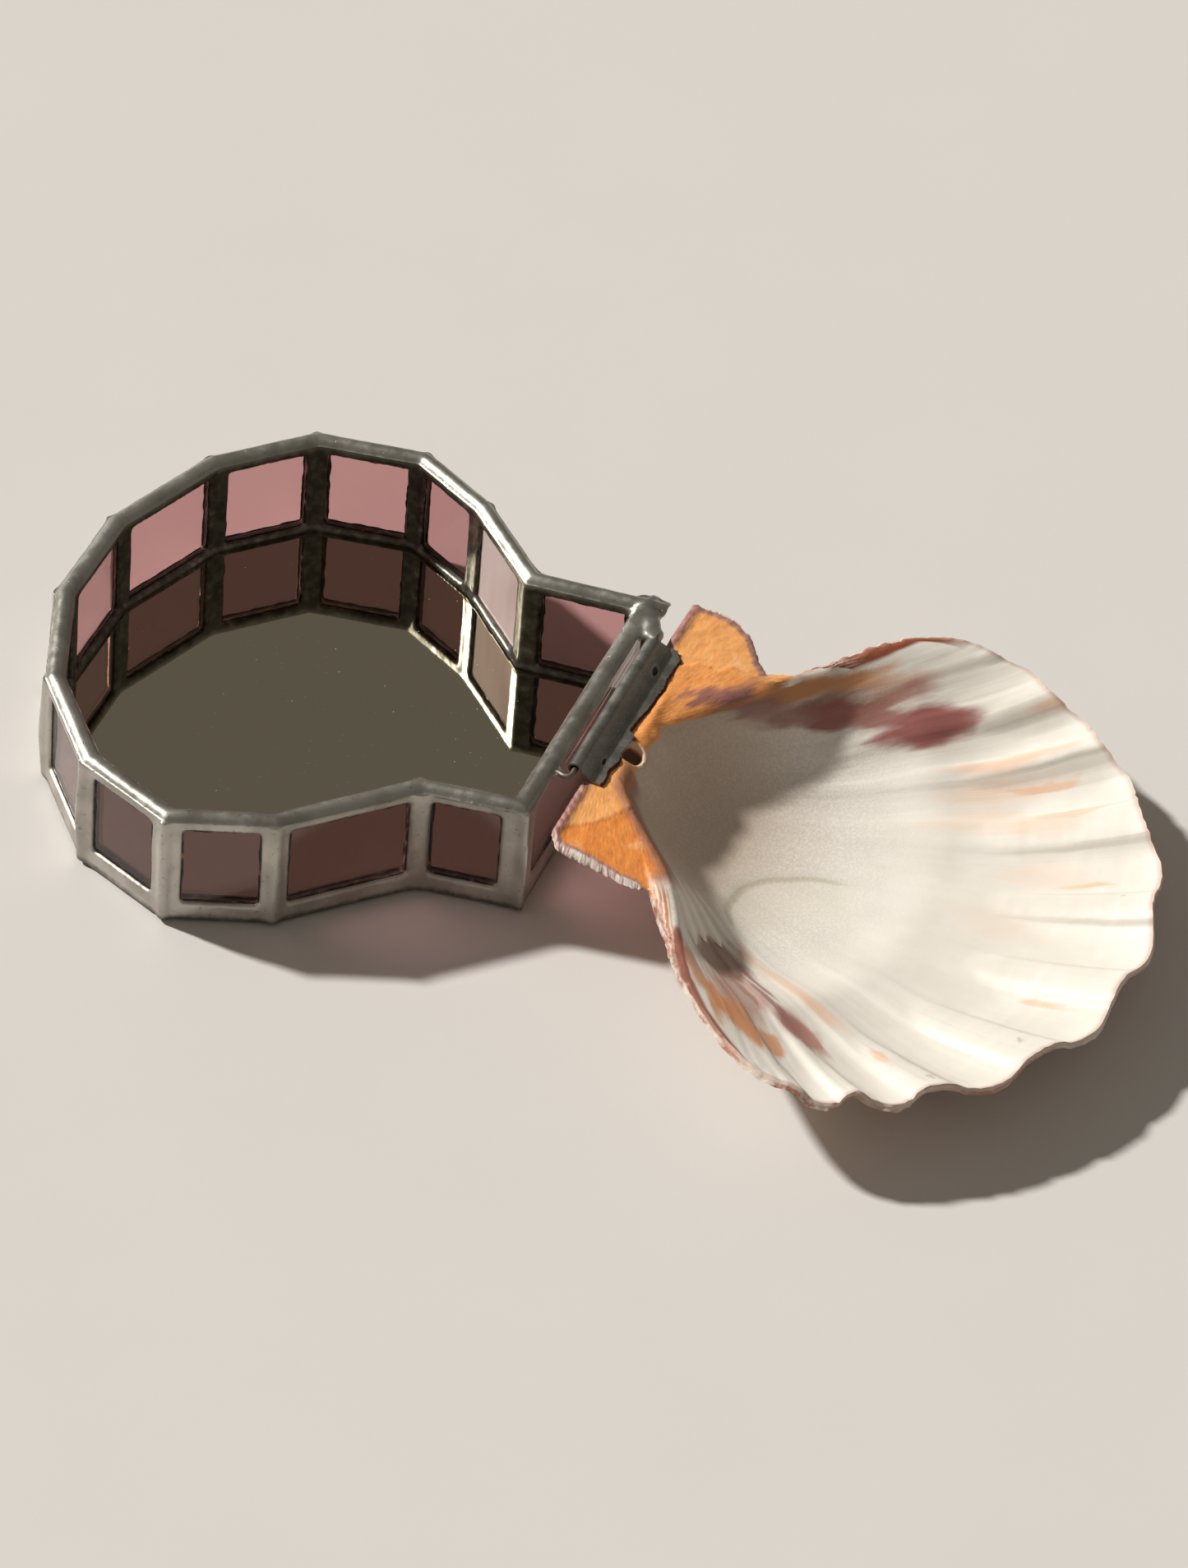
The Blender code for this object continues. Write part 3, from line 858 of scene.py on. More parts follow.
bowlDetail = {
    "scar": (59, -13, 24.5, 17.5),      # middle from the umbo, half its length and half its width
    "scarStep": 0.32, "scarStray": 0.025, "scarTurns": ((-34, -14), (95, 62)),     # degrees it shows in
    "teethHeight": 0.6, "teethStep": 4.7, "teethStart": 38.6,       # mm, then degrees
    "teethTip": 46.5, "teethLength": 2.8, "teethStray": 1.6, "teethMore": 4, "teethMoreFrom": (43, 48),
    "teethFrom": (30, 40), "teethFlanks": ((-52, -50), (-31, -36)),
    # The channels under the ribs: shallower than these, shorter at the front, faint at the back flank
    "channelLess": 0.8, "channelSharp": 0.9, "power": 4.4, "powerLess": 0.4, "powerFrom": (-34, -10),
    "flankLess": 0.65, "flankFrom": (38, 43),
    "grain": 0.16, "softEdge": 3,
    "rustLine": ((50, -52.2), (54, -53.2), (59, -54.0), (65, -54.3), (74, -53.5), (85, -51.3), (95, -49.8)),
    "rustWidth": 1.15, "rustEnds": ((49, 55), (94, 84)), "sheetEdgeRustAndShade": (0.2, 0.45, 0.5),
}

earDetail = {
    # The jagged edge of the flaked layer, front and back, as (u, v)
    "flakes": (((2, -30.5), (4.9, -27.3), (7.5, -25), (10.4, -21.9), (11.8, -19.2), (16, -11)),
               ((2, 25), (7.8, 26.9), (10, 29.3), (14.5, 29.3), (16.2, 32), (18.9, 31.9), (24, 32.3),
                (28, 34))),
    "flake": (0.45, 1.0), "flakeDepth": 0.4, "flakeFall": 7, "jag": 0.8,        # front and back share
    "ridge": 0.5, "ridgeU": 3.2, "ridgeWidth": 1.0, "ridgeFrom": ((14.9, 16.4), (30.6, 32.4)),
    "bead": 0.4, "beadStep": 1.15, "beadBand": 2.0,
    "swell": 0.22, "grit": 0.12, "rounding": 0.6, "roundWidth": 0.9,
    "pit": (7.8, -1.6, 2.4), "pitDepth": 2.2,       # u, v and radius
    "lip": (7.6, 1.2, 0.5),                         # raised beside the sheet: u, half width and height
}


def lidPlace(degrees, distance):
    # U and V of a place at some degrees from the middle line and some distance from the umbo
    poleU, poleV = shellForm["pole"]
    angle = math.radians(degrees)
    return poleU + distance * math.cos(angle), poleV + distance * math.sin(angle)


def ribPhase(degrees):
    # 0 along the middle of the nearest rib, 1 half way to the next one
    ribs = shellForm["ribs"]
    nearest = min(ribs, key=lambda middle: abs(middle - degrees))
    place = ribs.index(nearest)
    gaps = [abs(nearest - ribs[k]) for k in (place - 1, place + 1) if 0 <= k < len(ribs)]
    return min(abs(nearest - degrees) / (sum(gaps) / len(gaps) / 2), 1.0)


def ribWave(degrees, sharp=0.0):
    phase = ribPhase(degrees)
    fade = min(max((shellForm["sideAngle"] - abs(degrees)) / shellForm["ribFade"], 0.0), 1.0)
    rounded = 0.5 + 0.5 * math.cos(math.pi * phase)
    flat = 1 - smoothStep(phase, *shellForm["ribFlat"])
    return fade * (rounded * (1 - sharp) + flat * sharp)


def fanReach(degrees):
    # How far the fan's margin lies from the umbo
    angle = math.radians(degrees)
    cu, cv, radius = shellForm["disc"]
    across = cu * math.cos(angle) + cv * math.sin(angle)
    reach = across + math.sqrt(across ** 2 - cu ** 2 - cv ** 2 + radius ** 2)
    loss, power = shellForm["shoulders"][degrees > 0]
    start = shellForm["shoulderStart"]
    past = max(abs(degrees) - start, 0.0) / (shellForm["sideAngle"] - start)
    return reach - loss * past ** power + shellForm["ribLobe"] * (ribWave(degrees) - shellForm["ribLobeMean"])


def rowShare(row):
    near, far, notch = shellForm["nearRows"], shellForm["farRows"], shellForm["notch"]
    if row <= near:
        return notch * (row / near) ** shellForm["rowCrowding"]
    return notch + (1 - notch) * (row - near) / far


def marginStray(degrees):
    # How far the margin strays from its smooth outline: finely toothed, more so towards the front
    front = smoothStep(-degrees, *shellForm["strayFrom"])
    fine, more, fineSize = shellForm["fineStray"]
    broad, broadSize = shellForm["broadStray"]
    stray = (fine + more * front) * roughAt(degrees, 0, 2.0, fineSize)
    return stray + broad * front * roughAt(degrees, 4.0, 0, broadSize)


def flankStray(degrees, distance, share):
    # How many degrees the flanks' own edges stray beyond the ears; chipped at the back
    side, notch = (1 if degrees > 0 else -1), shellForm["notch"]
    near = smoothStep(abs(degrees), *shellForm["flankFrom"]) * smoothStep(share, notch, notch + 0.04)
    stray = roughAt(distance, 0, 3.0, 2.2) + 0.6 * roughAt(distance, 0, 8.0, 0.8)
    stray = min(shellForm["flankStray"][side > 0] * stray, shellForm["flankMost"])
    return math.degrees(stray / max(distance, 1)) * near * side


def edgeDepth(share):
    return shellForm["earThickness"] + (shellForm["marginDrop"] - shellForm["earThickness"]) * share


def outerDepth(degrees, distance, share, roundness):
    rise, fall = shellForm["outerBowl"]
    deepest = rise / (rise + fall)
    bowl = 0
    if 0 < share < 1:
        bowl = share ** rise * (1 - share) ** fall / (deepest ** rise * (1 - deepest) ** fall)
    depth = edgeDepth(share) + shellForm["outerDepth"] * bowl * roundness
    depth += shellForm["ribDepth"] * ribWave(degrees, shellForm["outerSharp"]) * share
    riblets = shellForm["riblet"] * share * math.cos(degrees * shellForm["ribletPace"])
    growth = shellForm["growth"] * roughAt(distance, degrees * 0.05, 0, shellForm["growthSize"])
    return depth + (riblets + growth - shellForm["sunk"]) * min(share * 6, 1) * roundness


def pastEdge(distance, radius):
    # The distance in from an edge of the hollow, with the edge rounded over
    return distance if distance > 12 * radius else radius * math.log1p(math.exp(distance / radius))


def hollowAt(degrees, distance):
    # U and V, the depth below the rim's plane, and how far in from the hollow's edge the place lies
    form, side = shellHollow, shellForm["sideAngle"]
    angle, start = math.radians(degrees), math.radians(form["start"])
    reach = fanReach(max(min(degrees, side), -side)) - shellForm["marginInset"]
    u, v = lidPlace(degrees, distance)
    lip = form["lip"] * math.exp(-((distance - form["lipPlace"]) / form["lipSpan"]) ** 2)
    back = distance * math.sin(start - angle)
    front = distance * math.sin(start + angle) - lip
    hinge = u - form["hingeLine"] + form["hingeStray"] * roughAt(v, 1.5, 0, 4.5)
    eased = smoothStep(distance, form["easeFrom"], form["easeTo"])
    back *= 1 - form["backEase"] * eased * (back > 0)
    front *= 1 - form["frontEase"] * eased * (front > 0)
    # 1 beyond the notch, where a flank is the shell's own edge
    free = smoothStep(min(distance / reach, 1.0), *form["freeFrom"])
    backRound = form["backRound"] * (1 - free) + form["edgeRound"] * free
    passed = (pastEdge(back, backRound), pastEdge(front, form["frontRound"]),
              pastEdge(hinge, form["hingeRound"]))
    nearest = sum(max(way, 1e-4) ** -4 for way in passed) ** -0.25
    depth = form["depth"] * math.tanh(nearest / form["fall"])
    depth *= 1 - math.exp(-max(reach - distance, 0) / form["marginFall"])
    inside = min(back, front, hinge)
    depth += min(form["lipDrop"] * min(inside, 0) ** 2, form["lipMost"]) * free
    return u, v, depth, inside


def bowlRelief(degrees, distance, share, inside):
    # Extra depth inside the hollow: channels, the scar's step and the white teeth by the front flank
    bowl = bowlDetail
    power = bowl["power"] - bowl["powerLess"] * smoothStep(degrees, *bowl["powerFrom"])
    flat = 1 - bowl["flankLess"] * smoothStep(degrees, *bowl["flankFrom"])
    channel = (shellForm["ribDepth"] - bowl["channelLess"]) * flat
    depth = channel * ribWave(degrees, bowl["channelSharp"]) * share ** power
    depth += bowl["scarStep"] * scarShare(degrees, distance)[0]
    teeth = teethShare(degrees, distance)
    depth -= bowl["teethHeight"] * teeth
    depth += bowl["grain"] * share * roughAt(degrees * 2.2, distance * 0.12, 0, 1.7)
    return depth * smoothStep(inside, 0, bowl["softEdge"]), teeth


def scarShare(degrees, distance):
    # How far inside the muscle's scar, and how near its edge, which shows only towards the hinge
    middleU, middleV, length, width = bowlDetail["scar"]
    u, v = distance * math.cos(math.radians(degrees)), distance * math.sin(math.radians(degrees))
    oval = math.hypot((u - middleU) / length, (v - middleV) / width)
    oval += bowlDetail["scarStray"] * roughAt(u, v, 0, 5)
    turn = math.degrees(math.atan2(v - middleV, middleU - u))
    fromFront, fromBack = bowlDetail["scarTurns"]
    arc = smoothStep(turn, *fromFront) * smoothStep(turn, *fromBack)
    share = smoothStep(oval, 1.04, 0.97) * arc * smoothStep(oval, 0.2, 0.9)
    return share, arc * smoothStep(oval, 1.08, 1.01) * smoothStep(oval, 0.93, 0.98)


def teethShare(degrees, distance):
    # The white teeth beside the front flank, from 0 to 1
    bowl = bowlDetail
    fingers = 0.5 + 0.5 * math.cos(2 * math.pi * (degrees + bowl["teethStart"]) / bowl["teethStep"])
    tip = bowl["teethTip"] + bowl["teethStray"] * roughAt(degrees, 2.0, 0, 2.1)
    tip += bowl["teethLength"] * fingers
    tip += bowl["teethMore"] * smoothStep(-degrees, *bowl["teethMoreFrom"])
    window = smoothStep(distance, *bowl["teethFrom"]) * smoothStep(distance, tip + 0.7, tip - 0.4)
    for bounds in bowl["teethFlanks"]:
        window *= smoothStep(degrees, *bounds)
    return window * (0.3 + 0.7 * fingers)


def pitAway(u, v):
    # The square of the distance from the pit by the hinge, 1 at its radius
    pitU, pitV, radius = earDetail["pit"]
    return ((u - pitU) ** 2 + (v - pitV) ** 2) / radius ** 2


def shellMarks(degrees, distance, u, v):
    # What the finish reads as mark: the scar, up to 1 inside and 2 along its edge, then rust with
    # painted shade along the hinge sheet's edge and rust along the front flank, and the pit
    beside, width, soft = bowlDetail["sheetEdgeRustAndShade"]
    # Rust and painted shade in a thin line just beyond the sheet's torn edge, where its shadow falls
    rustAndShade = math.exp(-((u - alongPoints(hingeSheet["edge"], v) - beside) / width) ** 2)
    rustAndShade *= smoothStep(v, hingeSheet["front"] - soft, hingeSheet["front"] + soft)
    rustAndShade *= smoothStep(v, hingeSheet["back"] + soft, hingeSheet["back"] - soft)
    flank = alongPoints(bowlDetail["rustLine"], distance)
    streak = math.exp(-(math.radians(degrees - flank) * distance / bowlDetail["rustWidth"]) ** 2)
    near, far = bowlDetail["rustEnds"]
    streak *= smoothStep(distance, *near) * smoothStep(distance, *far)
    return sum(scarShare(degrees, distance)), rustAndShade + streak, math.exp(-pitAway(u, v) ** 2)


def earRelief(side, degrees, distance, u, v, edge, inside):
    # Extra depth on the ears and the hinge band, and where a pale flaked layer lies
    ear, back = earDetail, side > 0
    jag = ear["jag"] * (roughAt(u, side * 9.0, 0, 1.4) + 0.5 * roughAt(u, side * 4.0, 0, 0.55))
    line = alongPoints(ear["flakes"][back], u) + jag
    beyond = (line - v) * side
    layer = smoothStep(beyond, -0.3, 0.3)
    depth = -ear["flakeDepth"] * ear["flake"][back] * layer * math.exp(-max(beyond, 0) / ear["flakeFall"])
    free = smoothStep(v * side, *ear["ridgeFrom"][back])
    depth -= ear["ridge"] * free * math.exp(-((u - ear["ridgeU"]) / ear["ridgeWidth"]) ** 2)
    depth += ear["swell"] * roughAt(u, v, 2.0, 4.0) + ear["grit"] * roughAt(u * 0.6, v, 6.0, 1.1)
    depth += ear["rounding"] * smoothStep(edge, ear["roundWidth"], 0.0) ** 2
    if not back:
        bead = abs(math.sin(math.radians(degrees) * distance / ear["beadStep"]))
        depth -= ear["bead"] * (bead - 0.3) * smoothStep(edge, ear["beadBand"], 0.5)
    lipU, lipWidth, lipHeight = ear["lip"]
    alongLip = smoothStep(v, 2.0, 5.0) * smoothStep(v, 23, 14)
    depth -= lipHeight * math.exp(-((u - lipU) / lipWidth) ** 2) * alongLip
    away = pitAway(u, v)
    depth += ear["pitDepth"] * math.exp(-away ** 2) - 0.3 * math.exp(-(away - 1.9) ** 2 * 3)
    return depth * smoothStep(inside, 1.5, -1.0), layer


plain = (0, 0, 0), (0, 0, 0)        # zone and mark on the outside


def fanPoint(swing, share, outer):
    # Degrees, distance and depth, then what the finish reads: see shellGrid
    side, notch = shellForm["sideAngle"], shellForm["notch"]
    degrees = side * math.sin(swing * math.pi / 2)
    roundness = math.cos(swing * math.pi / 2)
    reach = fanReach(degrees) + marginStray(degrees) * smoothStep(share, 0.8, 1.0)
    if outer:
        distance = reach * share
        depth = outerDepth(degrees, distance, share, roundness)
        return degrees + flankStray(degrees, distance, share), distance, depth, *plain
    distance = (reach - shellForm["marginInset"]) * share
    angle = degrees * (side - shellForm["wallAngle"]) / side
    u, v, depth, inside = hollowAt(angle, distance)
    relief, teeth = bowlRelief(angle, distance, share, inside)
    flank = distance * math.sin(math.radians(side - abs(degrees)))
    edge = min(reach * (1 - share), flank + 60 * smoothStep(share, notch + 0.06, notch - 0.02))
    onBand, layer = earRelief(math.copysign(1, v), angle, distance, u, v, 9.0, inside)
    depth += relief + onBand
    if abs(degrees) < 53:
        depth = min(depth, outerDepth(degrees, distance, share, roundness) - shellHollow["leastWall"])
    return (angle + flankStray(degrees, distance, share), distance, depth,
            (inside, teeth if inside > 0 else layer, edge), shellMarks(angle, distance, u, v))


def earPoint(side, column, share, outer):
    # side is 1 on the back ear and -1 on the front one; column runs from the crease to the hinge line
    swing, crease, notch = column / shellForm["earColumns"], shellForm["sideAngle"], shellForm["notch"]
    angle = crease + (90 - crease) * swing
    fanSide = fanReach(side * crease)
    if not outer:
        fanSide -= shellForm["marginInset"]
    reach = alongPoints(((crease, fanSide * notch), *shellForm["ears"][side > 0]), angle)
    if column:
        waves = shellForm["earStray"]
        reach += sum(height * roughAt(angle, side * seed, 0, size) for height, seed, size in waves)
    distance = reach * share / notch
    if outer:
        return side * angle, distance, edgeDepth(share), *plain
    innerAngle = side * (90 - (1 - swing) * (90 - crease + shellForm["wallAngle"]))
    u, v, depth, inside = hollowAt(innerAngle, distance)
    edge = min(reach - distance + 9 * smoothStep(swing, 0.12, 0), u - shellForm["pole"][0] + 0.3)
    relief, layer = earRelief(side, innerAngle, distance, u, v, edge, inside)
    return innerAngle, distance, depth + relief, (inside, layer, edge), shellMarks(innerAngle, distance, u, v)


def shellGrid(columns, rows, outer, pointOf):
    # The grid keeps three attributes: fan, with degrees / 90, mm from the umbo / 100 and 1 outside;
    # zone, with the distance in from the hollow's edge in cm, the flaked layer or the teeth from 0 to
    # 1, and the distance from the shell's edge in cm; and mark, see shellMarks
    def placeOf(column, row):
        degrees, distance, depth, (inside, layer, edge), marks = pointOf(column, rowShare(row))
        place = lidPoint(*lidPlace(degrees, distance), shellForm["rimW"] - depth)
        return place, (degrees / 90, distance / 100, float(outer)), (inside / 10, layer, edge / 10), marks

    return makeGrid(columns, rows, placeOf, ("fan", "zone", "mark"))


def shellSide(outer):
    columns, near, far = shellForm["fanColumns"], shellForm["nearRows"], shellForm["farRows"]
    grids = [shellGrid(columns, near + far, outer,
                       lambda column, share: fanPoint(1 - 2 * column / columns, share, outer))]
    for side in (1, -1):
        grids.append(shellGrid(shellForm["earColumns"], near, outer,
                               lambda column, share, side=side: earPoint(side, column, share, outer)))
    surface = joinPieces("shell_side", grids)
    mergeDoubles(surface)
    return surface


def makeShell(material):
    shell = joinPieces("scallop", [shellSide(False), shellSide(True)])
    bpy.ops.object.mode_set(mode="EDIT")
    bpy.ops.mesh.select_mode(type="EDGE")
    bpy.ops.mesh.select_all(action="DESELECT")
    bpy.ops.mesh.select_non_manifold(extend=False, use_wire=False, use_boundary=True, use_multi_face=False,
                                     use_non_contiguous=False, use_verts=False)
    bpy.ops.mesh.bridge_edge_loops()
    bpy.ops.object.mode_set(mode="OBJECT")
    outwardNormals(shell)
    finishPiece(shell, material, "lid", smoothAngle=60)
    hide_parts("scallop_shell")
    return shell


# Patches of colour inside the hollow and on the ears: degrees from the middle line and millimetres
# from the umbo, half their width in degrees and half their length in millimetres, how strong, how
# sharp their edge is, and the colour

tints = {
    "maroon": (0.33, 0.115, 0.105), "plum": (0.33, 0.145, 0.13), "umber": (0.25, 0.125, 0.085),
    "amber": (0.57, 0.255, 0.10), "rose": (0.66, 0.36, 0.24), "peach": (0.88, 0.63, 0.47),
    "smear": (0.86, 0.49, 0.29), "chalk": (0.80, 0.75, 0.66), "mauve": (0.46, 0.21, 0.175),
    "dusky": (0.56, 0.345, 0.285), "tawny": (0.69, 0.31, 0.14),
}
bowlPatches = (
    (56.0, 31, 5.0, 19, 0.95, 0.8, "amber"), (51.8, 45, 2.6, 14, 0.95, 0.5, "amber"),
    (50.6, 56, 2.3, 11, 0.85, 0.4, "amber"), (49.8, 62, 2.3, 10, 0.7, 0.4, "tawny"),
    (47.4, 67, 2.6, 12, 0.7, 0.3, "rose"), (50.6, 35, 3.4, 10, 0.8, 0.4, "plum"),
    (47.8, 43, 3.0, 12, 0.85, 0.4, "plum"), (48.4, 51, 2.2, 10, 0.8, 0.4, "umber"),
    (46.2, 53.5, 3.0, 11, 0.95, 0.5, "maroon"), (45.9, 65, 2.0, 13, 0.85, 0.4, "mauve"),
    (43.2, 62, 2.6, 9, 0.85, 0.4, "maroon"), (44.8, 60.5, 2.8, 9, 0.9, 0.4, "mauve"),
    (40.2, 69.5, 4.3, 13, 1.0, 0.55, "maroon"), (39.6, 76.5, 2.9, 9, 0.85, 0.4, "maroon"),
    (54.0, 48, 1.0, 7, 0.5, 0.5, "chalk"), (-44.0, 64, 6.5, 13, 0.85, 0.6, "dusky"),
    (-42.0, 54.5, 8.5, 8, 0.95, 0.7, "umber"), (-33.0, 51, 3.2, 8, 0.5, 0.3, "rose"),
    (-37.3, 60, 0.9, 10, 0.8, 0.6, "plum"), (-39.2, 68, 0.9, 8, 0.75, 0.6, "plum"),
    (-42.6, 63, 0.5, 10, 0.45, 0.8, "umber"), (-45.8, 63, 0.5, 10, 0.4, 0.8, "umber"),
    (-47.2, 68, 1.5, 6, 0.7, 0.4, "mauve"), (-38.9, 76.5, 3.2, 8, 1.0, 0.45, "mauve"),
    (-37.4, 80.5, 2.4, 8, 0.9, 0.45, "mauve"), (-39.3, 75.8, 1.8, 5, 0.5, 0.4, "plum"),
    (-51.6, 62, 1.5, 10, 0.8, 0.6, "tawny"), (-50.2, 70.5, 2.1, 9, 0.95, 0.6, "tawny"),
    (-47.0, 76.5, 2.4, 9, 0.95, 0.6, "tawny"), (-48.6, 73.5, 1.9, 7, 0.9, 0.5, "tawny"),
    (-44.2, 81, 1.8, 7, 0.85, 0.6, "tawny"), (-32.2, 63, 2.4, 12, 0.45, 0.4, "smear"),
    (-31.5, 73, 2.2, 10, 0.5, 0.4, "smear"), (-31.7, 92.5, 1.0, 5, 0.6, 0.4, "smear"),
    (31.5, 84, 1.9, 19, 0.55, 0.4, "smear"), (27.5, 82, 3.2, 17, 0.55, 0.3, "peach"),
    (27.0, 92, 0.8, 9, 0.6, 0.6, "smear"), (22.0, 78, 4.0, 18, 0.4, 0.3, "peach"),
    (20.3, 91, 3.0, 12, 0.55, 0.3, "peach"), (22.0, 96, 1.0, 9, 0.45, 0.5, "smear"),
    (11.2, 100, 0.8, 8, 0.7, 0.4, "smear"), (13.0, 91, 3.4, 14, 0.35, 0.3, "peach"),
    (-9.5, 103, 0.8, 5, 0.6, 0.4, "smear"), (38.0, 98, 1.1, 9, 0.5, 0.5, "smear"),
    (3.0, 84, 5.0, 16, 0.2, 0.3, "peach"), (-30.0, 102.6, 0.5, 1.0, 0.35, 0.3, "umber"),
    (-18.3, 106.4, 0.4, 0.8, 0.35, 0.3, "umber"), (8.3, 107.6, 0.4, 1.0, 0.3, 0.3, "umber"),
)
earPatches = (
    (61.0, 25.5, 6.5, 6.0, 0.9, 0.4, "plum"), (55.0, 30.0, 6.5, 7.0, 0.95, 0.5, "plum"),
    (67.0, 22.0, 4.0, 4.0, 0.7, 0.4, "plum"), (58.0, 37.0, 3.0, 6.0, 0.45, 0.4, "umber"),
)


def patched(colour, fan, patches):
    for degrees, reach, width, length, strength, sharp, tint in patches:
        near = spotShare(fan, (degrees / 90, reach / 100, 0), (width / 90, length / 100, 0.4))
        colour = mixColour(between(near, 0.0, 1.1 - sharp, 0.0, strength), colour, tints[tint])
    return colour


def rayNoise(fan, across, along, detail=3.0):
    # Noise stretched along the rays
    stretched = addNode("Mapping", {"Vector": fan, "Scale": (across, along, 1)}).outputs[0]
    return addNode("TexNoise", {"Vector": stretched, "Scale": 1.0, "Detail": detail}).outputs


def bentRays(fan):
    # The fan, wandering a little from side to side and along the rays
    swing = calc("SUBTRACT", rayNoise(fan, 40, 9, 5.0)["Color"], (0.5, 0.5, 0.5), kind="VectorMath")
    swing = calc("MULTIPLY", swing, (0.04, 0.14, 0.0), kind="VectorMath")
    return calc("ADD", fan, swing, kind="VectorMath")


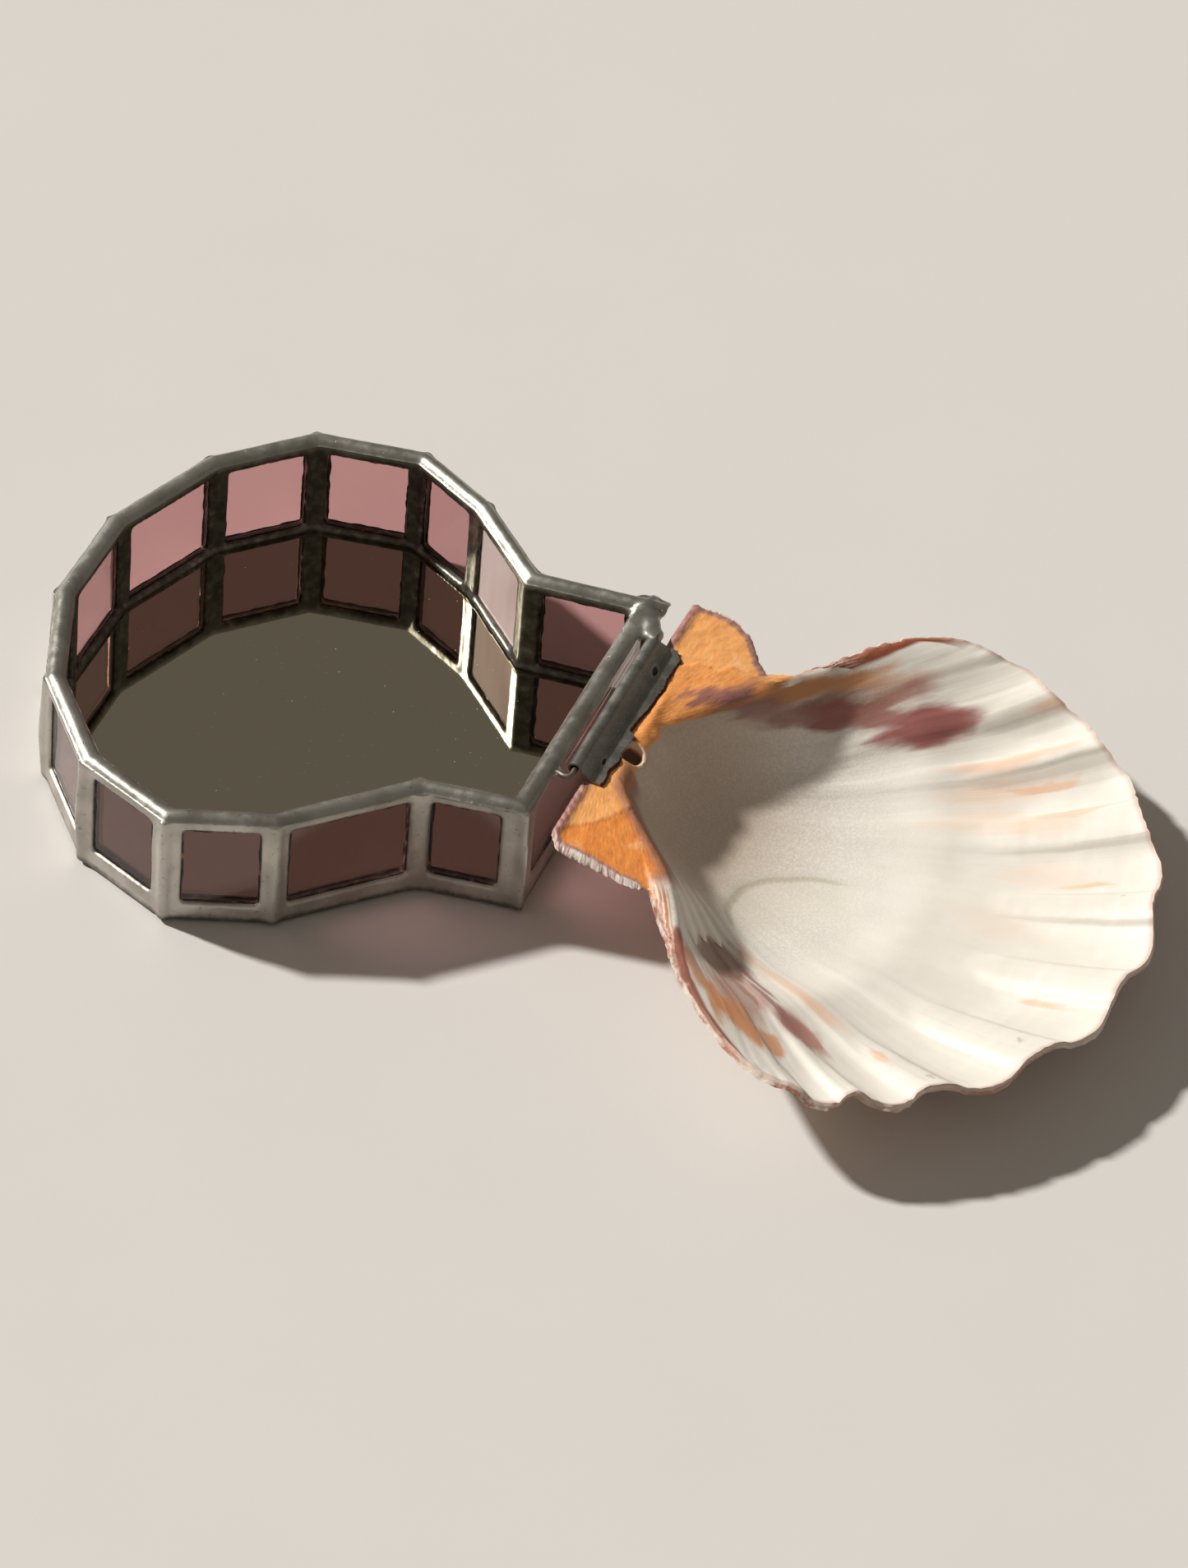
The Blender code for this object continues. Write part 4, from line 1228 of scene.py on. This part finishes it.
def shellFinish():
    material, shader, place = newMaterial("scallop")
    fan, angle, distance, outside = attributeOf(place, "fan")
    _, inside, layer, edge = attributeOf(place, "zone")
    _, scar, rustAndShade, pit = attributeOf(place, "mark")
    bent = bentRays(fan)
    clouds = noiseOf(place, 16, 4)
    grain = noiseOf(place, 0.55)
    fibres = rayNoise(fan, 60, 45, 5.0)["Fac"]
    scaly = rayNoise(fan, 150, 26)["Fac"]

    # Inside: warm white, crystalline in the middle, darkened towards the umbo with warm painted shade, and
    # with soft lines of painted shade beside the ribs near the margin
    middle = times(between(distance, 0.72, 0.50), between(distance, 0.30, 0.48, 0.3, 1.0))
    sugar = times(between(grain, 0.40, 0.66), middle)
    ridge = 1.0
    for rib in shellForm["ribs"][2:7]:
        ridge = calc("MINIMUM", ridge, calc("ABSOLUTE", calc("SUBTRACT", angle, rib / 90)))
    ridge = calc("ADD", ridge, times(clouds, 0.012))
    nearMargin = times(between(edge, 3.4, 0.9), between(distance, 0.60, 0.72), between(outside, 0.7, 0.3))
    # Thin lines of painted shade along the ribs' edges near the margin
    line = times(between(ridge, 0.0415, 0.0475), between(ridge, 0.0535, 0.0475), nearMargin)
    colour = painted(
        mixColour(between(clouds, 0.35, 0.68), (0.80, 0.762, 0.69), (0.86, 0.83, 0.765)),
        # Painted shade: warm brown darkening towards the umbo, where the hollow lies in shadow
        (between(distance, 0.58, 0.22, 0.0, 0.9), (0.57, 0.445, 0.35)),
        (times(sugar, 0.6), (0.93, 0.91, 0.87)),
        (between(scar, 0.0, 1.0, 0.0, 0.4), (0.82, 0.77, 0.66)),
        (between(scar, 1.05, 1.8, 0.0, 0.5), (0.52, 0.47, 0.34)),
        (times(line, 0.25), (0.60, 0.54, 0.45)))

    # Stains along the rays, white teeth, then the flanks' rims: a rust line inside, a white lip and
    # the scaly edge
    whiteTeeth = times(layer, between(inside, 0.0, 0.15))
    # A purple-brown band on the steep wall under the front crest, darkened further as painted shade of that
    # wall
    browTintAndShade = times(between(angle, -0.28, -0.40), between(distance, 0.42, 0.34), between(inside, 0.42, 0.15))
    rustRim = between(calc("ADD", edge, times(clouds, 0.14)), 0.40, 0.30)
    rustRim = times(rustRim, between(angle, 0.545, 0.585))
    chip = times(between(scaly, 0.46, 0.56), between(distance, 0.64, 0.52))
    stripes = calc("ADD", calc("SINE", times(inside, 70.0)), times(scaly, 1.6))
    crust = mixColour(between(stripes, 0.6, 1.7), (0.48, 0.22, 0.12), (0.78, 0.63, 0.51))
    crusty = times(between(inside, -0.08, -0.16), between(angle, -0.50, -0.56), between(distance, 0.38, 0.44))
    colour = painted(
        patched(colour, bent, bowlPatches),
        (between(whiteTeeth, 0.15, 0.5), (0.80, 0.75, 0.67)),
        (times(browTintAndShade, 0.85), (0.30, 0.15, 0.12)),
        (rustRim, (0.27, 0.075, 0.035)),
        (times(rustRim, chip), (0.74, 0.62, 0.52)),
        (crusty, crust),
        # Rust along the front flank, and rust with painted shade beside the hinge sheet's edge
        (between(rustAndShade, 0.15, 0.7, 0.0, 0.95), (0.31, 0.10, 0.06)))

    # Ears and the band along the hinge: orange, paler where a layer has flaked, purple at the edge
    deep = mixColour(between(fibres, 0.30, 0.70), (0.80, 0.25, 0.05), (0.92, 0.34, 0.08))
    pale = mixColour(between(fibres, 0.30, 0.70), (0.93, 0.39, 0.115), (0.98, 0.49, 0.18))
    backEar = mixColour(layer, pale, mixColour(0.5, deep, pale))
    frontEar = mixColour(layer, deep, pale)
    orange = painted(
        mixColour(between(angle, 0.0, -0.3), backEar, frontEar),
        (between(noiseOf(place, 7), 0.56, 0.72, 0.0, 0.5), (0.96, 0.56, 0.28)))
    shaded = times(between(angle, -0.30, -0.42), between(inside, -0.34, -0.05))
    wavy = calc("ADD", edge, times(noiseOf(place, 3), 0.12))
    purple = mixColour(between(fibres, 0.35, 0.65), (0.34, 0.15, 0.13), (0.50, 0.27, 0.22))
    limed = times(between(wavy, 0.24, 0.14), between(angle, -0.60, -0.66), between(distance, 0.28, 0.34))
    orange = painted(
        patched(orange, bent, earPatches),
        (times(shaded, between(fibres, 0.2, 0.6, 0.5, 0.95)), (0.38, 0.17, 0.115)),
        (between(wavy, 0.33, 0.21), purple),
        # Rust with painted shade beside the hinge sheet's torn edge
        (between(rustAndShade, 0.25, 0.8), (0.20, 0.055, 0.02)),
        # The pit by the hinge: dark with painted shade, ringed with a pale painted highlight
        (times(between(pit, 0.02, 0.12), between(pit, 0.6, 0.35)), (0.84, 0.62, 0.42)),
        (between(pit, 0.40, 0.75), (0.13, 0.06, 0.04)),
        (times(limed, between(scaly, 0.36, 0.52)), (0.80, 0.72, 0.66)))
    overBrow = between(angle, -0.28, -0.42, 0.0, 0.10)
    reachIn = calc("SUBTRACT", calc("ADD", inside, times(fibres, 0.12)), overBrow)
    near = calc("MAXIMUM", between(calc("ABSOLUTE", angle), 0.60, 0.625), between(distance, 0.42, 0.36))
    onEar = times(between(reachIn, 0.16, 0.02), near)
    margin = times(between(edge, 0.13, 0.02), between(distance, 0.7, 0.8))

    # Outside: bands of red-brown and cream across the ribs
    bands = between(rayNoise(fan, 3, 22, 5.0)["Fac"], 0.42, 0.62)
    chequer = rayNoise(fan, 95, 60)["Fac"]
    under = painted(
        mixColour(bands, (0.74, 0.62, 0.52), (0.43, 0.17, 0.10)),
        (between(chequer, 0.5, 0.66, 0.0, 0.6), (0.82, 0.76, 0.69)))
    colour = painted(
        colour, (onEar, orange), (times(margin, 0.6), (0.58, 0.38, 0.30)),
        (between(outside, 0.3, 0.7), under))

    # Satin inside, with a fine crystalline grain; dull and scaly outside
    bumps = bumpOf(times(grain, between(distance, 0.80, 0.55, 0.25, 1.0)), 0.09, 0.6)
    for height, size, strength in (
            (times(between(ridge, 0.0415, 0.0525), nearMargin), 0.5, 0.5),
            (rayNoise(fan, 240, 3, 2.0)["Fac"], 0.10, 0.3),
            (times(chequer, outside), 0.5, 0.9),
            (times(fibres, onEar), 0.22, 0.6)):
        bumps = bumpOf(height, size, strength, bumps)
    setShader(shader, Color=colour, Roughness=between(outside, 0.3, 0.7, 0.48, 0.75), Normal=bumps)
    return material


shell = makeShell(shellFinish())
print("shell:", len(shell.data.polygons), "faces")
